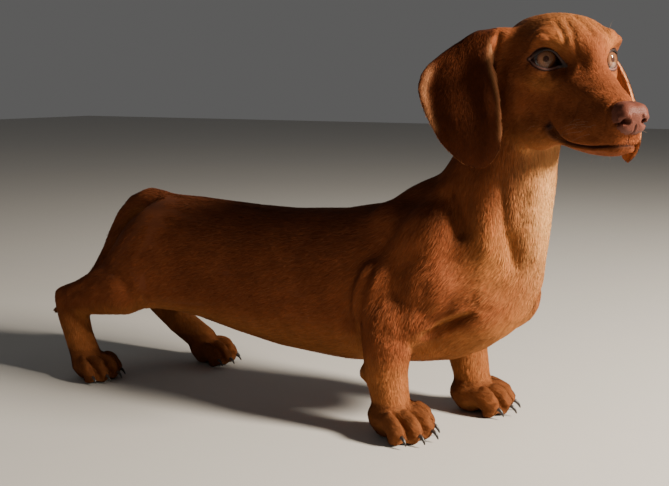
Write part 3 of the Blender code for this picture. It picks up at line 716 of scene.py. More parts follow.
def ear_across(skin, name):
    """Distances of an ear's points from its front and rear edge, and share down it."""
    run, outward = ear_directions(name)
    here = skin.of(name)
    low, high = (np.array(corner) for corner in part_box(name))
    down = np.clip((high[2] - skin.co[:, 2]) / (high[2] - low[2]), 0.0, 1.0)
    reach = skin.co @ run
    bins = np.clip((down * EAR_ROWS).astype(int), 0, EAR_ROWS - 1)
    front, rear = np.empty(EAR_ROWS), np.empty(EAR_ROWS)
    for row in range(EAR_ROWS):
        inside = reach[here & (bins == row)]
        front[row], rear[row] = (inside.min(), inside.max()) if len(inside) else (0.0, 0.0)
    rows = (np.arange(EAR_ROWS) + 0.5) / EAR_ROWS
    return (here, down, (reach - np.interp(down, rows, front)) / MM,
            (np.interp(down, rows, rear) - reach) / MM, run, outward)


def shape_ear(skin, name, size=1.0):
    """Waves across the blade, in millimetres outwards."""
    here, down, front, rear, run, outward = ear_across(skin, name)
    free = smooth_step(down, 0.06, 0.30)
    crest = 2.4 * np.exp(-((front - 8.5) / 5.0) ** 2)
    tuck = -3.6 * (1.0 - smooth_step(front, 0.0, 7.5)) * smooth_step(-down, -0.95, -0.60)
    hollow = -2.6 * np.exp(-((front - 24) / 10) ** 2) * smooth_step(-down, -0.85, -0.4)
    flare_at = np.exp(-((down - 0.42) / 0.26) ** 2) + 0.35 * np.exp(-((down - 0.80) / 0.14) ** 2)
    flare = 10.5 * flare_at * (1.0 - smooth_step(rear, 0.0, 13)) ** 1.4
    swell = 2.6 * np.exp(-((down - 0.74) / 0.14) ** 2) * smooth_step(rear, 4, 30)
    rim = -2.6 * smooth_step(down, 0.90, 1.0)
    seam = 1.6 * np.exp(-((front - 2.2) / 1.8) ** 2) * smooth_step(-down, -0.75, -0.55)
    ripple = 0.8 * np.sin(front / 7.0 + 4.0 * down) * smooth_step(down, 0.1, 0.4)
    amount = (crest + tuck + seam + hollow + flare + swell + rim + ripple) * free * size * here
    amount = skin.spread(amount, 3)[:, 0] * skin.of(name)
    skin.co = skin.co + outward * MM * amount[:, None]


# lines behind which each ear folds away from the cheek
GROOVES = (((229, -36, 352), (229, -38.5, 343), (229, -40, 331), (233.5, -42.5, 315),
    (238.8, -44, 296.3), (242, -45.5, 283)), ((296, 35, 344), (301, 35, 335), (309, 31, 322)))
for points in GROOVES:
    skin.stroke(bend(on_body(points)), 2.8 * MM, -4.2 * MM, skin.of("head", *EARS), ends=0.15)
shape_ear(skin, "ear_right")
shape_ear(skin, "ear_left", 0.9)
skin.relax(3, skin.of(*EARS).astype(float), 0.5)
skin.relax(16, skin.of(*EARS).astype(float))

# ---- the paws: parted toes -------------------------------------------------

# way back from a claw and height above the floor
TOE_GAP = ((0, 3), (3.5, 11), (9, 19), (16, 26), (24, 31))
KNUCKLE = ((4, 18), (9, 24), (15, 29), (20, 31))


def paw_frame(name):
    """Heading of a paw, and the middles of its claws."""
    end = name.replace("paw_", "claw_")
    claws = np.array([middle(f"{end}_{index}") for index in range(1, 5)])
    ahead = (claws.mean(axis=0) - np.array(middle(name))) * (1.0, 1.0, 0.0)
    return ahead / np.linalg.norm(ahead), claws


def part_toes(skin, name):
    """Deep grooves between the toes, and a knuckle along each toe."""
    ahead, claws = paw_frame(name)
    tree = skin.tree(name)
    steady = skin.steady_normals(4)
    parts = [(claw, KNUCKLE, 3.8, 2.2) for claw in claws]
    parts += [((first + second) / 2.0, TOE_GAP, 2.1, -5.2)
              for first, second in zip(claws[:-1], claws[1:])]
    for start, steps, width, height in parts:
        line = [start * (1, 1, 0) + MM * (np.array((0, 0, rise)) - ahead * back)
                for back, rise in steps]
        skin.stroke(on_skin(tree, bend(line)), MM * width, MM * height, skin.of(name),
                    ends=0.25, normals=steady)


centres = skin.co[skin.tri].mean(axis=1)
skin.refine(np.isin(skin.part[skin.tri[:, 0]], [PART[name] for name in PAWS])
            & (centres[:, 2] > 2 * MM))
skin.relax(2, skin.of(*PAWS).astype(float), 0.5)
for name in PAWS:
    part_toes(skin, name)
SOLE = 0.2 * MM          # the skin and the claws stay this far above the floor
skin.co[:, 2] = np.maximum(skin.co[:, 2], SOLE)

# ---- colours of the coat, with painted light and shade in places, the same on the skin and on the tufts ---

RED = (0.185, 0.053, 0.020)
# the darker back and tail; also painted shade on the paws
DEEP_RED = (0.092, 0.028, 0.012)
# the lighter gold of the underside, throat and chest; also painted light on the lower legs and
# crown
GOLD = (0.430, 0.170, 0.050)
PALE_GOLD = (0.580, 0.300, 0.110)
# the ears' own darker red, made darker still by painted shade
EAR_RED_AND_SHADE = (0.048, 0.012, 0.0045)
# painted highlight along the thin edges of the ears
EAR_EDGE_HIGHLIGHT = (0.720, 0.310, 0.140)
# the paler inside of the ears, partly their own colour, partly painted light
EAR_INSIDE = (0.500, 0.190, 0.080)
# the muzzle's own darker colour, with painted shade on its sides
MUZZLE_AND_SHADE = (0.165, 0.048, 0.017)
LIP = (0.028, 0.011, 0.008)
LEATHER = (0.112, 0.036, 0.023)
PAD = (0.045, 0.026, 0.022)

# centre, half sizes, share and colour of the soft patches, the same on both sides
BODY_PATCHES = (((262, 0, 205), (26, 26, 60), 0.85, PALE_GOLD),
                ((228, 30, 165), (22, 22, 34), 0.55, GOLD),
                ((225, 0, 95), (40, 30, 40), 0.50, GOLD))
# on the head: the darker muzzle with a redder bridge is partly real colour, partly painted shade
# on the muzzle's sides
FACE_PATCHES = (((45, 0, -35), (40, 40, 26), 0.65, MUZZLE_AND_SHADE), ((45, 0, -10), (34, 9, 12), 0.35, RED),
                ((8, 18, 14), (11, 9, 8), 0.40, GOLD), ((6, 28, -17), (14, 12, 7), 0.35, GOLD),
                # painted light: the golden patch on the crown makes the top of the head lighter
                ((-20, 0, 28), (34, 30, 22), 0.50, GOLD),
                ((-4, 18, -64), (34, 20, 12), 0.40, GOLD))
MOTTLES = ((60, 0.10, 3), (18, 0.09, 5), (6, 0.07, 7))     # size, strength and seed

# the thin edges of the ears, along which a band of painted highlight lies
EAR_RIMS = (((225, -40, 343), (224.5, -44, 331), (229, -47.5, 315), (234.8, -48.6, 296.3),
    (238.5, -50.8, 283), (240.4, -51.6, 267.6)), ((172.2, -47, 322.1), (166.3, -53.8, 304.5),
    (172.8, -54.6, 284.9), (180.2, -54.3, 271)), ((297.5, 37, 335.3), (307.1, 33.3, 321.8),
    (317.3, 35.6, 299.5), (322.3, 36.4, 288.8), (326.2, 36.7, 266.2)), ((267.9, 65.9, 324.6),
    (274, 72.4, 307.1), (286.8, 67.5, 273.5)))
EAR_TREE = skin.tree(*EARS)
EAR_HIGHLIGHT_LINES = [on_skin(EAR_TREE, bend(on_body(line))) for line in EAR_RIMS]


def rough_field(points, size, seed):
    """A smooth wandering value about 0, made of waves in many directions."""
    dice = np.random.default_rng(seed)
    total = np.zeros(len(points))
    for _ in range(9):
        wave = dice.normal(size=3)
        wave *= dice.uniform(0.7, 1.6) * 2.0 * math.pi / (size * np.linalg.norm(wave))
        total += np.sin(points @ wave + dice.uniform(0.0, 2.0 * math.pi))
    return total / 4.5


def tint(colour, mask, other):
    return colour + mask[:, None] * (np.asarray(other) - colour)


def markings(points, normals, part):
    """Coat colour at each point, with painted light and shade in places, before the small
    differences between tufts.
    """
    drawn, head = in_body(points), in_head(points)
    of = {name: part == index for name, index in PART.items()}
    on_face = of["head"] | of["nose"]
    ears = of["ear_right"] | of["ear_left"]
    paws, legs = (np.any([of[name] for name in names], axis=0)
                  for names in (PAWS, LEG_ENDS + PAWS))
    colour = np.tile(np.array(RED), (len(points), 1))
    upper = smooth_step(normals[:, 2], 0.1, 0.9) * ~on_face
    colour = tint(colour, 0.45 * upper, DEEP_RED)
    under = smooth_step(-normals[:, 2], 0.1, 0.8) * ~on_face * ~ears
    colour = tint(colour, 0.45 * under, GOLD)
    for centre, reach, share, other in BODY_PATCHES:
        colour = tint(colour, share * both_spots(drawn, centre, reach), other)
    colour = tint(colour, 0.35 * of["tail"], DEEP_RED)
    # painted light: the lower legs are made lighter
    colour = tint(colour, 0.30 * legs * smooth_step(-drawn[:, 2], -85, -55), GOLD)
    # painted shade: the paws are made darker
    colour = tint(colour, 0.45 * paws, DEEP_RED)
    # the ears' own darker colour, with painted shade over it
    colour = tint(colour, 0.9 * ears, EAR_RED_AND_SHADE)
    # lighter inside of the ears: partly their own colour, partly painted light
    for name in EARS:
        inside = smooth_step(-normals @ ear_directions(name)[1], 0.2, 0.6) * of[name]
        colour = tint(colour, 0.8 * inside, EAR_INSIDE)
    # painted highlight: a light band along the thin edges of the ears
    for line in EAR_HIGHLIGHT_LINES:
        away, along = near_line(points, line)
        edge = np.exp(-(away / (3 * MM)) ** 2) * smooth_step(along, -0.05, 0.1)
        colour = tint(colour, 0.85 * edge * ears, EAR_EDGE_HIGHLIGHT)
    # face patches: real markings, with painted shade on the muzzle's sides and painted light on
    # the crown
    for centre, reach, share, other in FACE_PATCHES:
        colour = tint(colour, share * both_spots(head, centre, reach) * on_face, other)
    # dark lips; at the corner of the mouth partly painted shade in the fold
    for line, width in LIP_LINES:
        dark = np.exp(-(near_line(points, line)[0] / (1.4 * width)) ** 2) * on_face
        colour = tint(colour, 0.9 * dark, LIP)
    for size, strength, seed in MOTTLES:
        colour = colour * (1.0 + strength * rough_field(points, size * MM, seed))[:, None]
    return np.clip(colour, 0.004, 1.0)


def bare_masks(points, normals, part):
    """Where the skin is bare: nose leather, lips, lid corners, pads; the dark corner of the mouth
    is partly painted shade in its fold.
    """
    on_face = (part == PART["head"]) | (part == PART["nose"])
    leather = np.where(part == PART["nose"], 1.0, 0.0)
    lips = np.zeros(len(points))
    lids = np.zeros(len(points))
    for line, width in LIP_LINES:
        away = near_line(points, line)[0]
        lips = np.maximum(lips, np.exp(-(away / width) ** 2) * on_face)
    for eye in EYES.values():
        local = eye.inside(points)
        away = near_line(local[:, :2], LID_LOOP[:, :2])[0]
        away[within_loop(local[:, :2], LID_FLAT)] = 0.0
        lids = np.maximum(lids, np.exp(-(away / 0.7) ** 2) * (local[:, 2] > -3.0)
                          * on_face * (np.linalg.norm(local, axis=1) < 26.0))
    pads = smooth_step(-normals[:, 2], 0.55, 0.9) * (points[:, 2] < 12 * MM)
    pads *= np.isin(part, [PART[name] for name in PAWS])
    return leather, lips, lids, pads


def add_colour(mesh, name, values):
    values = np.column_stack([values, np.ones(len(values))]).astype(np.float32)
    layer = mesh.color_attributes.new(name, "FLOAT_COLOR", "POINT")
    layer.data.foreach_set("color", values.ravel())


def add_value(mesh, name, values):
    layer = mesh.attributes.new(name, "FLOAT", "POINT")
    layer.data.foreach_set("value", np.asarray(values, np.float32))


normals = skin.normals()
leather, lips, lids, pads = bare_masks(skin.co, normals, skin.part)
leather = skin.spread(leather, 8)[:, 0]
hair_colour = markings(skin.co, normals, skin.part)
skin_colour = hair_colour * 0.80
# dark lips, with painted shade at the corner of the mouth
skin_colour = tint(skin_colour, lips, LIP)
skin_colour = tint(skin_colour, 0.9 * lids, LIP)
skin_colour = tint(skin_colour, pads, PAD)
skin_colour = tint(skin_colour, smooth_step(leather, 0.35, 0.65), LEATHER)
bare = np.clip(np.maximum.reduce([smooth_step(leather, 0.15, 0.5), lips ** 0.6, lids, pads]), 0, 1)

# ---- the lie of the coat ---------------------------------------------------

# place and direction on the right side of the body, in the drawing
LIE_BODY = (((-150, -35, 185), (-1, 0, -0.35)), ((-100, -50, 175), (-1, 0, -0.2)),
    ((-45, -50, 165), (-1, 0, -0.12)), ((10, -52, 165), (-1, 0, -0.12)), ((65, -52, 165),
    (-1, 0, -0.22)), ((115, -45, 185), (-0.9, 0, -0.45)), ((-80, -52, 110), (-1, 0, -0.22)),
    ((-40, -54, 100), (-1, 0, -0.2)), ((10, -56, 95), (-1, 0, -0.26)), ((65, -56, 100),
    (-1, 0, -0.4)), ((80, -50, 70), (-1, 0, -0.35)), ((0, -20, 49), (-1, 0, 0)), ((100, -20, 52),
    (-1, 0, 0)), ((160, -20, 58), (-1, 0, -0.1)), ((-120, -15, 198), (-1, 0, 0)),
    ((100, -10, 200), (-1, 0, -0.05)), ((140, -15, 215), (-0.9, 0, -0.35)), ((165, -20, 245),
    (-0.6, 0, -0.8)), ((185, -25, 290), (-0.35, 0, -1)), ((175, -45, 185), (-0.45, -0.1, -0.9)),
    ((150, -55, 155), (-0.45, 0, -0.9)), ((185, -55, 150), (-0.3, -0.2, -0.95)), ((150, -65, 115),
    (-0.25, 0, -1)), ((110, -60, 140), (-0.8, 0, -0.7)), ((205, -35, 240), (-0.2, 0, -1)),
    ((215, -37, 205), (-0.2, 0, -1)), ((240, -30, 240), (-0.06, 0, -1)), ((245, -28, 190),
    (0, 0, -1)), ((262, 0, 230), (0.02, 0, -1)), ((258, 0, 170), (0, 0, -1)), ((252, -15, 128),
    (-0.35, -0.3, -0.85)), ((235, -35, 125), (-0.45, -0.4, -0.75)), ((220, -45, 140),
    (-0.75, -0.3, -0.45)), ((205, -50, 130), (-0.85, -0.2, -0.25)), ((195, -45, 90),
    (-0.55, 0, -0.85)), ((225, -20, 85), (-0.8, 0, -0.55)), ((-160, -45, 150), (-0.8, 0, -0.6)),
    ((-150, -55, 120), (-0.7, 0, -0.7)), ((-120, -55, 110), (-0.7, 0, -0.7)), ((-180, -60, 110),
    (-0.85, 0, -0.5)), ((-190, -20, 150), (-0.3, 0, -0.95)), ((-185, -10, 120), (-0.2, 0, -1)),
    ((150, -65, 80), (-0.12, 0, -1)), ((150, -65, 50), (0, 0, -1)))
# place and direction on the right side of the head, in its own frame
LIE_HEAD = (((70, 0, -15), (-1, -0.1, 0.1)), ((45, -4, -11), (-1, -0.12, 0.1)), ((20, -5, -3),
    (-0.85, -0.1, 0.5)), ((5, -6, 18), (-0.8, -0.2, 0.6)), ((-20, -8, 30), (-1, -0.15, 0.1)),
    ((-50, -10, 25), (-1, 0, -0.4)), ((75, -12, -35), (-0.8, -0.3, -0.5)), ((55, -16, -30),
    (-1, -0.2, -0.2)), ((55, -16, -45), (-0.9, -0.1, -0.5)), ((30, -20, -25), (-1, -0.3, -0.1)),
    ((30, -20, -45), (-0.9, -0.2, -0.45)), ((60, -8, -58), (-1, 0, -0.15)), ((20, -10, -63),
    (-1, 0, -0.2)), ((12, -25, -17), (-0.9, -0.5, -0.45)), ((12, -16, 8), (-0.6, -0.6, 0.6)),
    ((-5, -30, 12), (-0.8, -0.4, 0.1)), ((-10, -37, -10), (-0.9, -0.3, -0.45)), ((0, -32, -35),
    (-0.85, -0.3, -0.55)), ((-20, -40, -40), (-0.65, -0.2, -0.8)), ((-10, -30, -62),
    (-0.7, 0, -0.7)), ((-35, -40, 10), (-0.9, -0.3, -0.3)), ((-45, -25, -70), (-0.5, 0, -0.85)),
    ((0, 0, -71), (-1, 0, -0.1)))
TAIL_LINE = ((-140, 0, 190), (-172, 0, 186), (-191, 0, 178.5), (-207, 0, 163.5), (-234, 3, 125),
    (-282, 9, 77), (-332, 12, 45))


def blended(points, guides, reach):
    """Direction at each point from the guides near it, mirrored on the left."""
    total = np.zeros_like(points)
    for place, direction in guides:
        for sign in (1, -1):
            gap = ((points - mirrored(place, sign)) ** 2).sum(axis=1)
            weight = np.exp(-gap / (2.0 * reach ** 2)) + 1e-3 / (gap + 100.0)
            total += weight[:, None] * (mirrored(direction, sign) / np.linalg.norm(direction))
    return unit_rows(total)


def along_skin(vectors, normals):
    """The share of each vector that runs along the skin."""
    return vectors - normals * (vectors * normals).sum(axis=1, keepdims=True)


def lie_of_coat(skin, normals):
    """Unit direction along the surface in which the hair lies, at each point."""
    drawn, head = in_body(skin.co), in_head(skin.co)
    lie = blended(drawn, LIE_BODY, 20)
    on_face = skin.of("head", "nose")
    lie[on_face] = blended(head[on_face], LIE_HEAD, 11) @ HEAD_AXES
    lie[skin.of("foreleg_right", "foreleg_left")] = (-0.10, 0.0, -1.0)
    here = skin.of("hindleg_right", "hindleg_left")
    upper = smooth_step(drawn[here, 2], 74, 98)[:, None]
    lie[here] = upper * (-0.88, 0.0, -0.48) + (1.0 - upper) * (0.12, 0.0, -1.0)
    for name in PAWS:
        lie[skin.of(name)] = paw_frame(name)[0] * 0.9 + (0.0, 0.0, -0.5)
    for name in EARS:
        here, down, front, rear, run, outward = ear_across(skin, name)
        lean = ((front - rear) / np.maximum(front + rear, 1e-3))[here, None]
        lie[here] = np.array((0.0, 0.0, -1.0)) + run * lean * 0.45
    tail = skin.of("tail")
    line = bend(TAIL_LINE)
    along = near_line(drawn[tail], line)[1]
    spot = np.clip((along * (len(line) - 1)).astype(int), 0, len(line) - 2)
    lie[tail] = unit_rows(np.diff(line, axis=0))[spot]
    for rounds in (6, 6):
        lie = skin.spread(unit_rows(along_skin(lie, normals)), rounds)
    return unit_rows(along_skin(lie, normals))


COAT_AREAS = {"neck": ["neck"], "tail": ["tail"], "legs": LEG_ENDS, "paws": PAWS, "ears": EARS,
              "face": ["head", "nose"]}
# millimetres: length of the tufts of each area, and how far their tips lift
COAT_LENGTH = {"neck": 8.0, "tail": 8.5, "legs": 5.8, "paws": 3.6, "ears": 4.4, "rest": 7.8}
COAT_LIFT = {"ears": 0.30, "paws": 0.40, "face": 0.30, "rest": 0.55}
# where the coat breaks the outline: centre, half sizes, more length, more lift
ROUGH_SPOTS = (((-180, 50, 110), (16, 20, 40), 3.0, 0.0),
               ((-190, 50, 110), (12, 20, 40), 0.0, 0.8),
               ((60, 20, 50), (120, 40, 12), 0.0, 0.6), ((220, 48, 132), (12, 20, 10), 0.0, 0.7))


def coat_measures(skin, bare):
    """Length, width and lift of the tufts at each point, and how wanted they are."""
    drawn, head = in_body(skin.co), in_head(skin.co)
    length, lift = (np.full(len(skin.co), table["rest"]) for table in (COAT_LENGTH, COAT_LIFT))
    for values, table in ((length, COAT_LENGTH), (lift, COAT_LIFT)):
        for name, names in COAT_AREAS.items():
            values[skin.of(*names)] = table.get(name, table["rest"])
    face = skin.of("head", "nose")
    length[face] = 2.7 + 2.4 * smooth_step(-head[face, 0], -45, 35)
    for centre, reach, longer, higher in ROUGH_SPOTS:
        rough = both_spots(drawn, centre, reach)
        length += longer * rough
        lift += higher * rough
    lift += 0.6 * skin.of("tail") * smooth_step(-drawn[:, 0], 200, 300)
    length, lift = (MM * skin.spread(values, 8)[:, 0] for values in (length, lift))
    width = 0.16 * MM + 0.058 * length
    wanted = np.clip(1.0 - 1.15 * bare, 0.0, 1.0)
    for eye in EYES.values():
        local = eye.inside(skin.co)
        gone = within_loop(local[:, :2], LID_FLAT) & (local[:, 2] > -6.0)
        wanted[gone & (np.linalg.norm(local, axis=1) < 24.0)] = 0.0
        ring = np.exp(-(np.linalg.norm(local + (2.5, -1.0, -4.0), axis=1) / 13.0) ** 4)
        length *= 1.0 - 0.45 * ring
    wanted[skin.co[:, 2] < 1.4 * MM] = 0.0
    return length, width, lift, wanted


def surface_ahead(skin, tree, lie, reach):
    """Where a hair of that reach gets to if it follows the skin."""
    at = skin.co + lie * reach[:, None]
    found = np.array([tuple(tree.find_nearest(point)[0]) for point in at.tolist()])
    return found - skin.co


CHART_GAP = 0.004        # between the charts of the flat map


def unwrap_charts(co, tri, part, face_normals):
    """Flat map of the skin: one chart for each part and side, packed side by side."""
    side = np.abs(face_normals).argmax(axis=1)
    facing = face_normals[np.arange(len(tri)), side] > 0.0
    chart = part * 6 + side * 2 + facing
    flat_axes = ((1, 2), (0, 2), (0, 1))
    boxes = []
    for index in np.unique(chart):
        faces = chart == index
        axes = flat_axes[(index % 6) // 2]
        spots = co[tri[faces].ravel()][:, axes]
        boxes.append((spots.max(axis=0) - spots.min(axis=0), spots.min(axis=0), index, axes))
    boxes.sort(key=lambda item: (-item[0][1], item[2]))
    sheet = math.sqrt(sum((size + CHART_GAP).prod() for size, *_ in boxes)) * 1.06
    uv = np.zeros((len(tri), 3, 2))
    x = y = row = 0.0
    for size, low, index, axes in boxes:
        if x + size[0] > sheet:
            x, y, row = 0.0, y + row + CHART_GAP, 0.0
        faces = chart == index
        uv[faces] = co[tri[faces]][:, :, axes] - low + (x, y)
        x += size[0] + CHART_GAP
        row = max(row, size[1])
    return CHART_GAP + (1.0 - 2.0 * CHART_GAP) * uv / max(sheet, y + row)


TUFTS = 440000
PIECE_TUFTS = 64000      # at most, in one piece of the coat
# a tuft has two points at its root, two midway and one at its tip
TUFT_FACES = ((0, 3, 1), (0, 2, 3), (2, 4, 3))
TUFT_SHADES = (0.84, 0.84, 1.0, 1.0, 1.12)
TUFT_PATCH = ((-0.0012, -0.0015), (0.0012, -0.0015), (-0.0012, 0.0), (0.0012, 0.0),
              (0.0, 0.0015))          # its own bit of the flat map
TUFT_STEPS = (0.7548776662, 0.5698402910)     # spread the tufts evenly within a triangle
COAT_PIECES = (("head", ("head", "nose")), ("ears", EARS), ("neck", ("neck",)),
               ("chest", ("chest",)), ("belly", ("belly",)), ("rump", ("rump", "tail")),
               ("legs", LEG_ENDS), ("paws", PAWS))


def grow_coat(skin, normals, lie, bare):
    """Fine flat tufts all over the skin, in a few joined pieces."""
    dice = np.random.default_rng(11)
    length, width, lift, wanted = coat_measures(skin, bare)
    tree = skin.tree()
    half = surface_ahead(skin, tree, lie, length * 0.5)
    full = surface_ahead(skin, tree, lie, length)
    corners = skin.co[skin.tri]
    cross = np.cross(corners[:, 1] - corners[:, 0], corners[:, 2] - corners[:, 0])
    area = np.linalg.norm(cross, axis=1) / 2.0
    face_normals = unit_rows(cross)
    need = (wanted / (length * width))[skin.tri].mean(axis=1) * area
    need[(wanted[skin.tri] < 0.3).any(axis=1)] = 0.0
    pick = (np.arange(TUFTS) + dice.uniform(0.0, 1.0, TUFTS)) / TUFTS
    face = np.searchsorted(np.cumsum(need) / need.sum(), pick).clip(0, len(need) - 1)
    u, v = (np.arange(TUFTS) * step % 1.0 for step in TUFT_STEPS)
    u, v = np.where(u + v > 1.0, 1.0 - u, u), np.where(u + v > 1.0, 1.0 - v, v)
    shares = np.stack([1.0 - u - v, u, v], axis=1)[:, :, None]

    def at_roots(values):
        picked = values[skin.tri[face]]
        return (picked * (shares if values.ndim == 2 else shares[:, :, 0])).sum(axis=1)

    root = at_roots(skin.co)
    up = unit_rows(at_roots(normals))
    ahead = unit_rows(along_skin(at_roots(lie), up))
    across = np.cross(up, ahead)
    grow = dice.uniform(0.72, 1.28, TUFTS)[:, None]
    swing = dice.normal(0.0, 0.09, TUFTS)[:, None]
    long_by = at_roots(length)[:, None] * grow
    wide = (at_roots(width)[:, None] * dice.uniform(0.75, 1.25, TUFTS)[:, None]) / 2.0
    high = at_roots(lift)[:, None] * dice.uniform(0.35, 1.5, TUFTS)[:, None]
    mid = root + at_roots(half) * grow + up * high * 0.55 + across * swing * long_by * 0.5
    tip = root + at_roots(full) * grow + up * high + across * swing * long_by * 1.3
    foot, half_foot = root - up * 0.1 * MM, across * wide * 0.8
    spots = np.stack([foot - half_foot, foot + half_foot, mid - across * wide,
                      mid + across * wide, tip], axis=1)
    spots[:, :, 2] = np.maximum(spots[:, :, 2], 0.6 * MM)
    tilt = (across * dice.normal(0.0, 0.20, TUFTS)[:, None]
            + ahead * dice.normal(-0.02, 0.06, TUFTS)[:, None])
    shade_normals = np.repeat(unit_rows(up + tilt)[:, None, :], 5, axis=1)
    colour = markings(root, up, skin.part[skin.tri[face, 0]])
    value = np.exp(dice.normal(0.0, 0.09, TUFTS))[:, None]
    warm = dice.normal(0.0, 0.05, TUFTS)[:, None] * np.array((-0.2, 1.0, 1.4))
    colour = colour * value * (1.0 + warm)
    shades = np.clip(colour[:, None, :] * np.array(TUFT_SHADES)[:, None], 0.003, 1.0)
    charts = unwrap_charts(skin.co, skin.tri, skin.part[skin.tri[:, 0]], face_normals)
    maps = (charts[face] * shares).sum(axis=1)[:, None, :] + TUFT_PATCH
    part = skin.part[skin.tri[face, 0]]
    pieces = []
    for label, names in COAT_PIECES:
        chosen = np.flatnonzero(np.isin(part, [PART[name] for name in names]))
        chosen = chosen[np.argsort(root[chosen, 0], kind="stable")]
        for number, some in enumerate(np.array_split(chosen, -(-len(chosen) // PIECE_TUFTS))):
            co = spots[some].reshape(-1, 3)
            tri = (np.array(TUFT_FACES) + 5 * np.arange(len(some))[:, None, None]).reshape(-1, 3)
            piece = mesh_object(f"coat_{label}_{number + 1}", co, tri)
            mesh = piece.data
            add_colour(mesh, "Hair", shades[some].reshape(-1, 3))
            layer = mesh.uv_layers.new(name="OFBake")
            flat = maps[some].reshape(-1, 2)[tri.ravel()]
            layer.data.foreach_set("uv", flat.astype(np.float32).ravel())
            mesh.normals_split_custom_set_from_vertices(
                shade_normals[some].reshape(-1, 3).astype(np.float32))
            pieces.append(piece)
    return pieces


lie = lie_of_coat(skin, normals)
coat = grow_coat(skin, normals, lie, bare)
body = mesh_object("skin", skin.co, skin.tri)
add_colour(body.data, "Hair", skin_colour)
add_value(body.data, "Leather", smooth_step(leather, 0.3, 0.7))
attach(body, "root")
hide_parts(*FLESH)
for piece in coat:
    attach(piece, "root")

# ---- eyes and lids ---------------------------------------------------------

IRIS = 7.2               # millimetres on a head of plain size
PUPIL_SHARE = 0.24
GAZE_OUT = math.radians(27.0)
GAZE_UP = math.radians(14.2)
EYE_GAP = 0.06           # between the cornea and the eyeball under it
UPPER_LID = 42           # points of the lids' edge that belong to the upper lid


def gaze_axes(side):
    """Axes of an eyeball, the last one along its gaze."""
    sign = SIDES[side]
    out = np.array((math.cos(GAZE_UP) * math.cos(GAZE_OUT),
                    sign * math.cos(GAZE_UP) * math.sin(GAZE_OUT), math.sin(GAZE_UP)))
    right = np.cross((0.0, 0.0, 1.0), out)
    right /= np.linalg.norm(right)
    return np.array((right, np.cross(out, right), out)) @ HEAD_AXES


def turned_dish(profile, steps=64):
    """Rings of points round the last axis, from a profile of (radius, height)."""
    turn = np.arange(steps) * 2.0 * math.pi / steps
    rings = [np.stack([radius * np.cos(turn), radius * np.sin(turn), np.full(steps, height)], 1)
             for radius, height in profile]
    return np.vstack(rings), ring_faces(len(profile), steps)[:, ::-1]


def eye_piece(name, side, co, tri):
    placed = co @ gaze_axes(side) * HEAD_UNIT + EYES[side].centre
    return mesh_object(f"{name}_{side}", placed, tri)


def eyeball(side):
    """The eye under its cornea: pupil pit, iris dish and dark white of the eye."""
    edge = math.sqrt(EYE_BALL ** 2 - IRIS ** 2)
    profile = [(0.001, edge - 1.2), (IRIS * PUPIL_SHARE * 0.9, edge - 1.1),
               (IRIS * PUPIL_SHARE, edge + 0.30), (IRIS * 0.45, edge + 0.42),
               (IRIS * 0.70, edge + 0.40), (IRIS * 0.88, edge + 0.25), (IRIS, edge - 0.06)]
    start = math.asin(IRIS / EYE_BALL)
    for angle in np.linspace(start, math.pi, 26)[1:]:
        radius = EYE_BALL - EYE_GAP
        profile.append((max(radius * math.sin(angle), 0.001), radius * math.cos(angle)))
    co, tri = turned_dish(profile)
    reach = np.hypot(co[:, 0], co[:, 1]) / IRIS
    reach[co[:, 2] < 0.0] = 3.0
    piece = eye_piece("eyeball", side, co, tri)
    add_value(piece.data, "Reach", reach)
    turn = np.arctan2(co[:, 1], co[:, 0])
    fibre = np.stack([np.cos(turn), np.sin(turn), reach / 4], axis=1)
    add_colour(piece.data, "Fibre", 0.5 + 0.5 * fibre)
    return piece


def cornea(side):
    angles = np.linspace(0.0, 1.75, 26)
    profile = [(max(EYE_BALL * math.sin(a), 0.001), EYE_BALL * math.cos(a)) for a in angles]
    return eye_piece("cornea", side, *turned_dish(profile))


def lid_rims(side):
    """Thick rim of both lids, from the hair down to the eyeball: dark above and at the nose
    corner, partly with painted shade, and with a painted wet highlight on the lower rim.
    """
    outer, inner = LID_EDGE, LID_OPENING
    steps = len(outer)
    upper = np.zeros(steps)
    upper[:UPPER_LID] = np.sin(np.linspace(0.0, math.pi, UPPER_LID)) ** 0.5
    thickness = 0.32 + 0.38 * upper
    # the nose corner of the eye takes the dark of the upper rim, partly painted shade
    upper = np.maximum(upper, np.exp(-((np.arange(steps) - 44.0) / 8.0) ** 2))
    under = inner * (1.06, 1.06, 1.0)
    under[:, 2] = over_ball(under[:, :2], EYE_BALL - 0.7, LID_LEVEL - 1.2)
    rows, rim = [under], [np.zeros(steps)]
    for share in np.linspace(0.0, 1.0, 9):
        spot = inner * (1.0 - share) + outer * share
        out = unit_rows(spot)
        thick = thickness * math.sin(math.pi * min(share * 1.12 + 0.04, 1.0)) ** 0.7
        spot = spot + out * thick[:, None]
        if share == 1.0:
            spot = spot - out * 0.35
        rows.append(spot)
        rim.append(np.full(steps, share))
    tri = ring_faces(len(rows), steps)[:, ::-1 if side == "right" else 1]
    piece = mesh_object("lid_rims_" + side, EYES[side].outside(np.vstack(rows)), tri)
    add_value(piece.data, "Rim", np.concatenate(rim))
    add_value(piece.data, "Upper", np.tile(upper, len(rows)))
    return piece


# ---- claws and whiskers ----------------------------------------------------

def horn_claw(node):
    """A smooth claw in place of the cut one."""
    claw = Skin(*solid_arrays(node))
    claw.part = np.zeros(len(claw.co), int)
    for _ in range(2):
        claw.refine(np.ones(len(claw.tri), bool))
        claw.relax(3, None, 0.35)
    claw.co[:, 2] = np.maximum(claw.co[:, 2], SOLE)
    piece = mesh_object(node + "_horn", claw.co, claw.tri)
    low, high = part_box(node)
    along = (claw.co[:, 2] - low.z) / (high.z - low.z)
    add_value(piece.data, "Tip", 1.0 - along)
    return piece


WHISKER = 0.08 * MM      # half thickness at the root
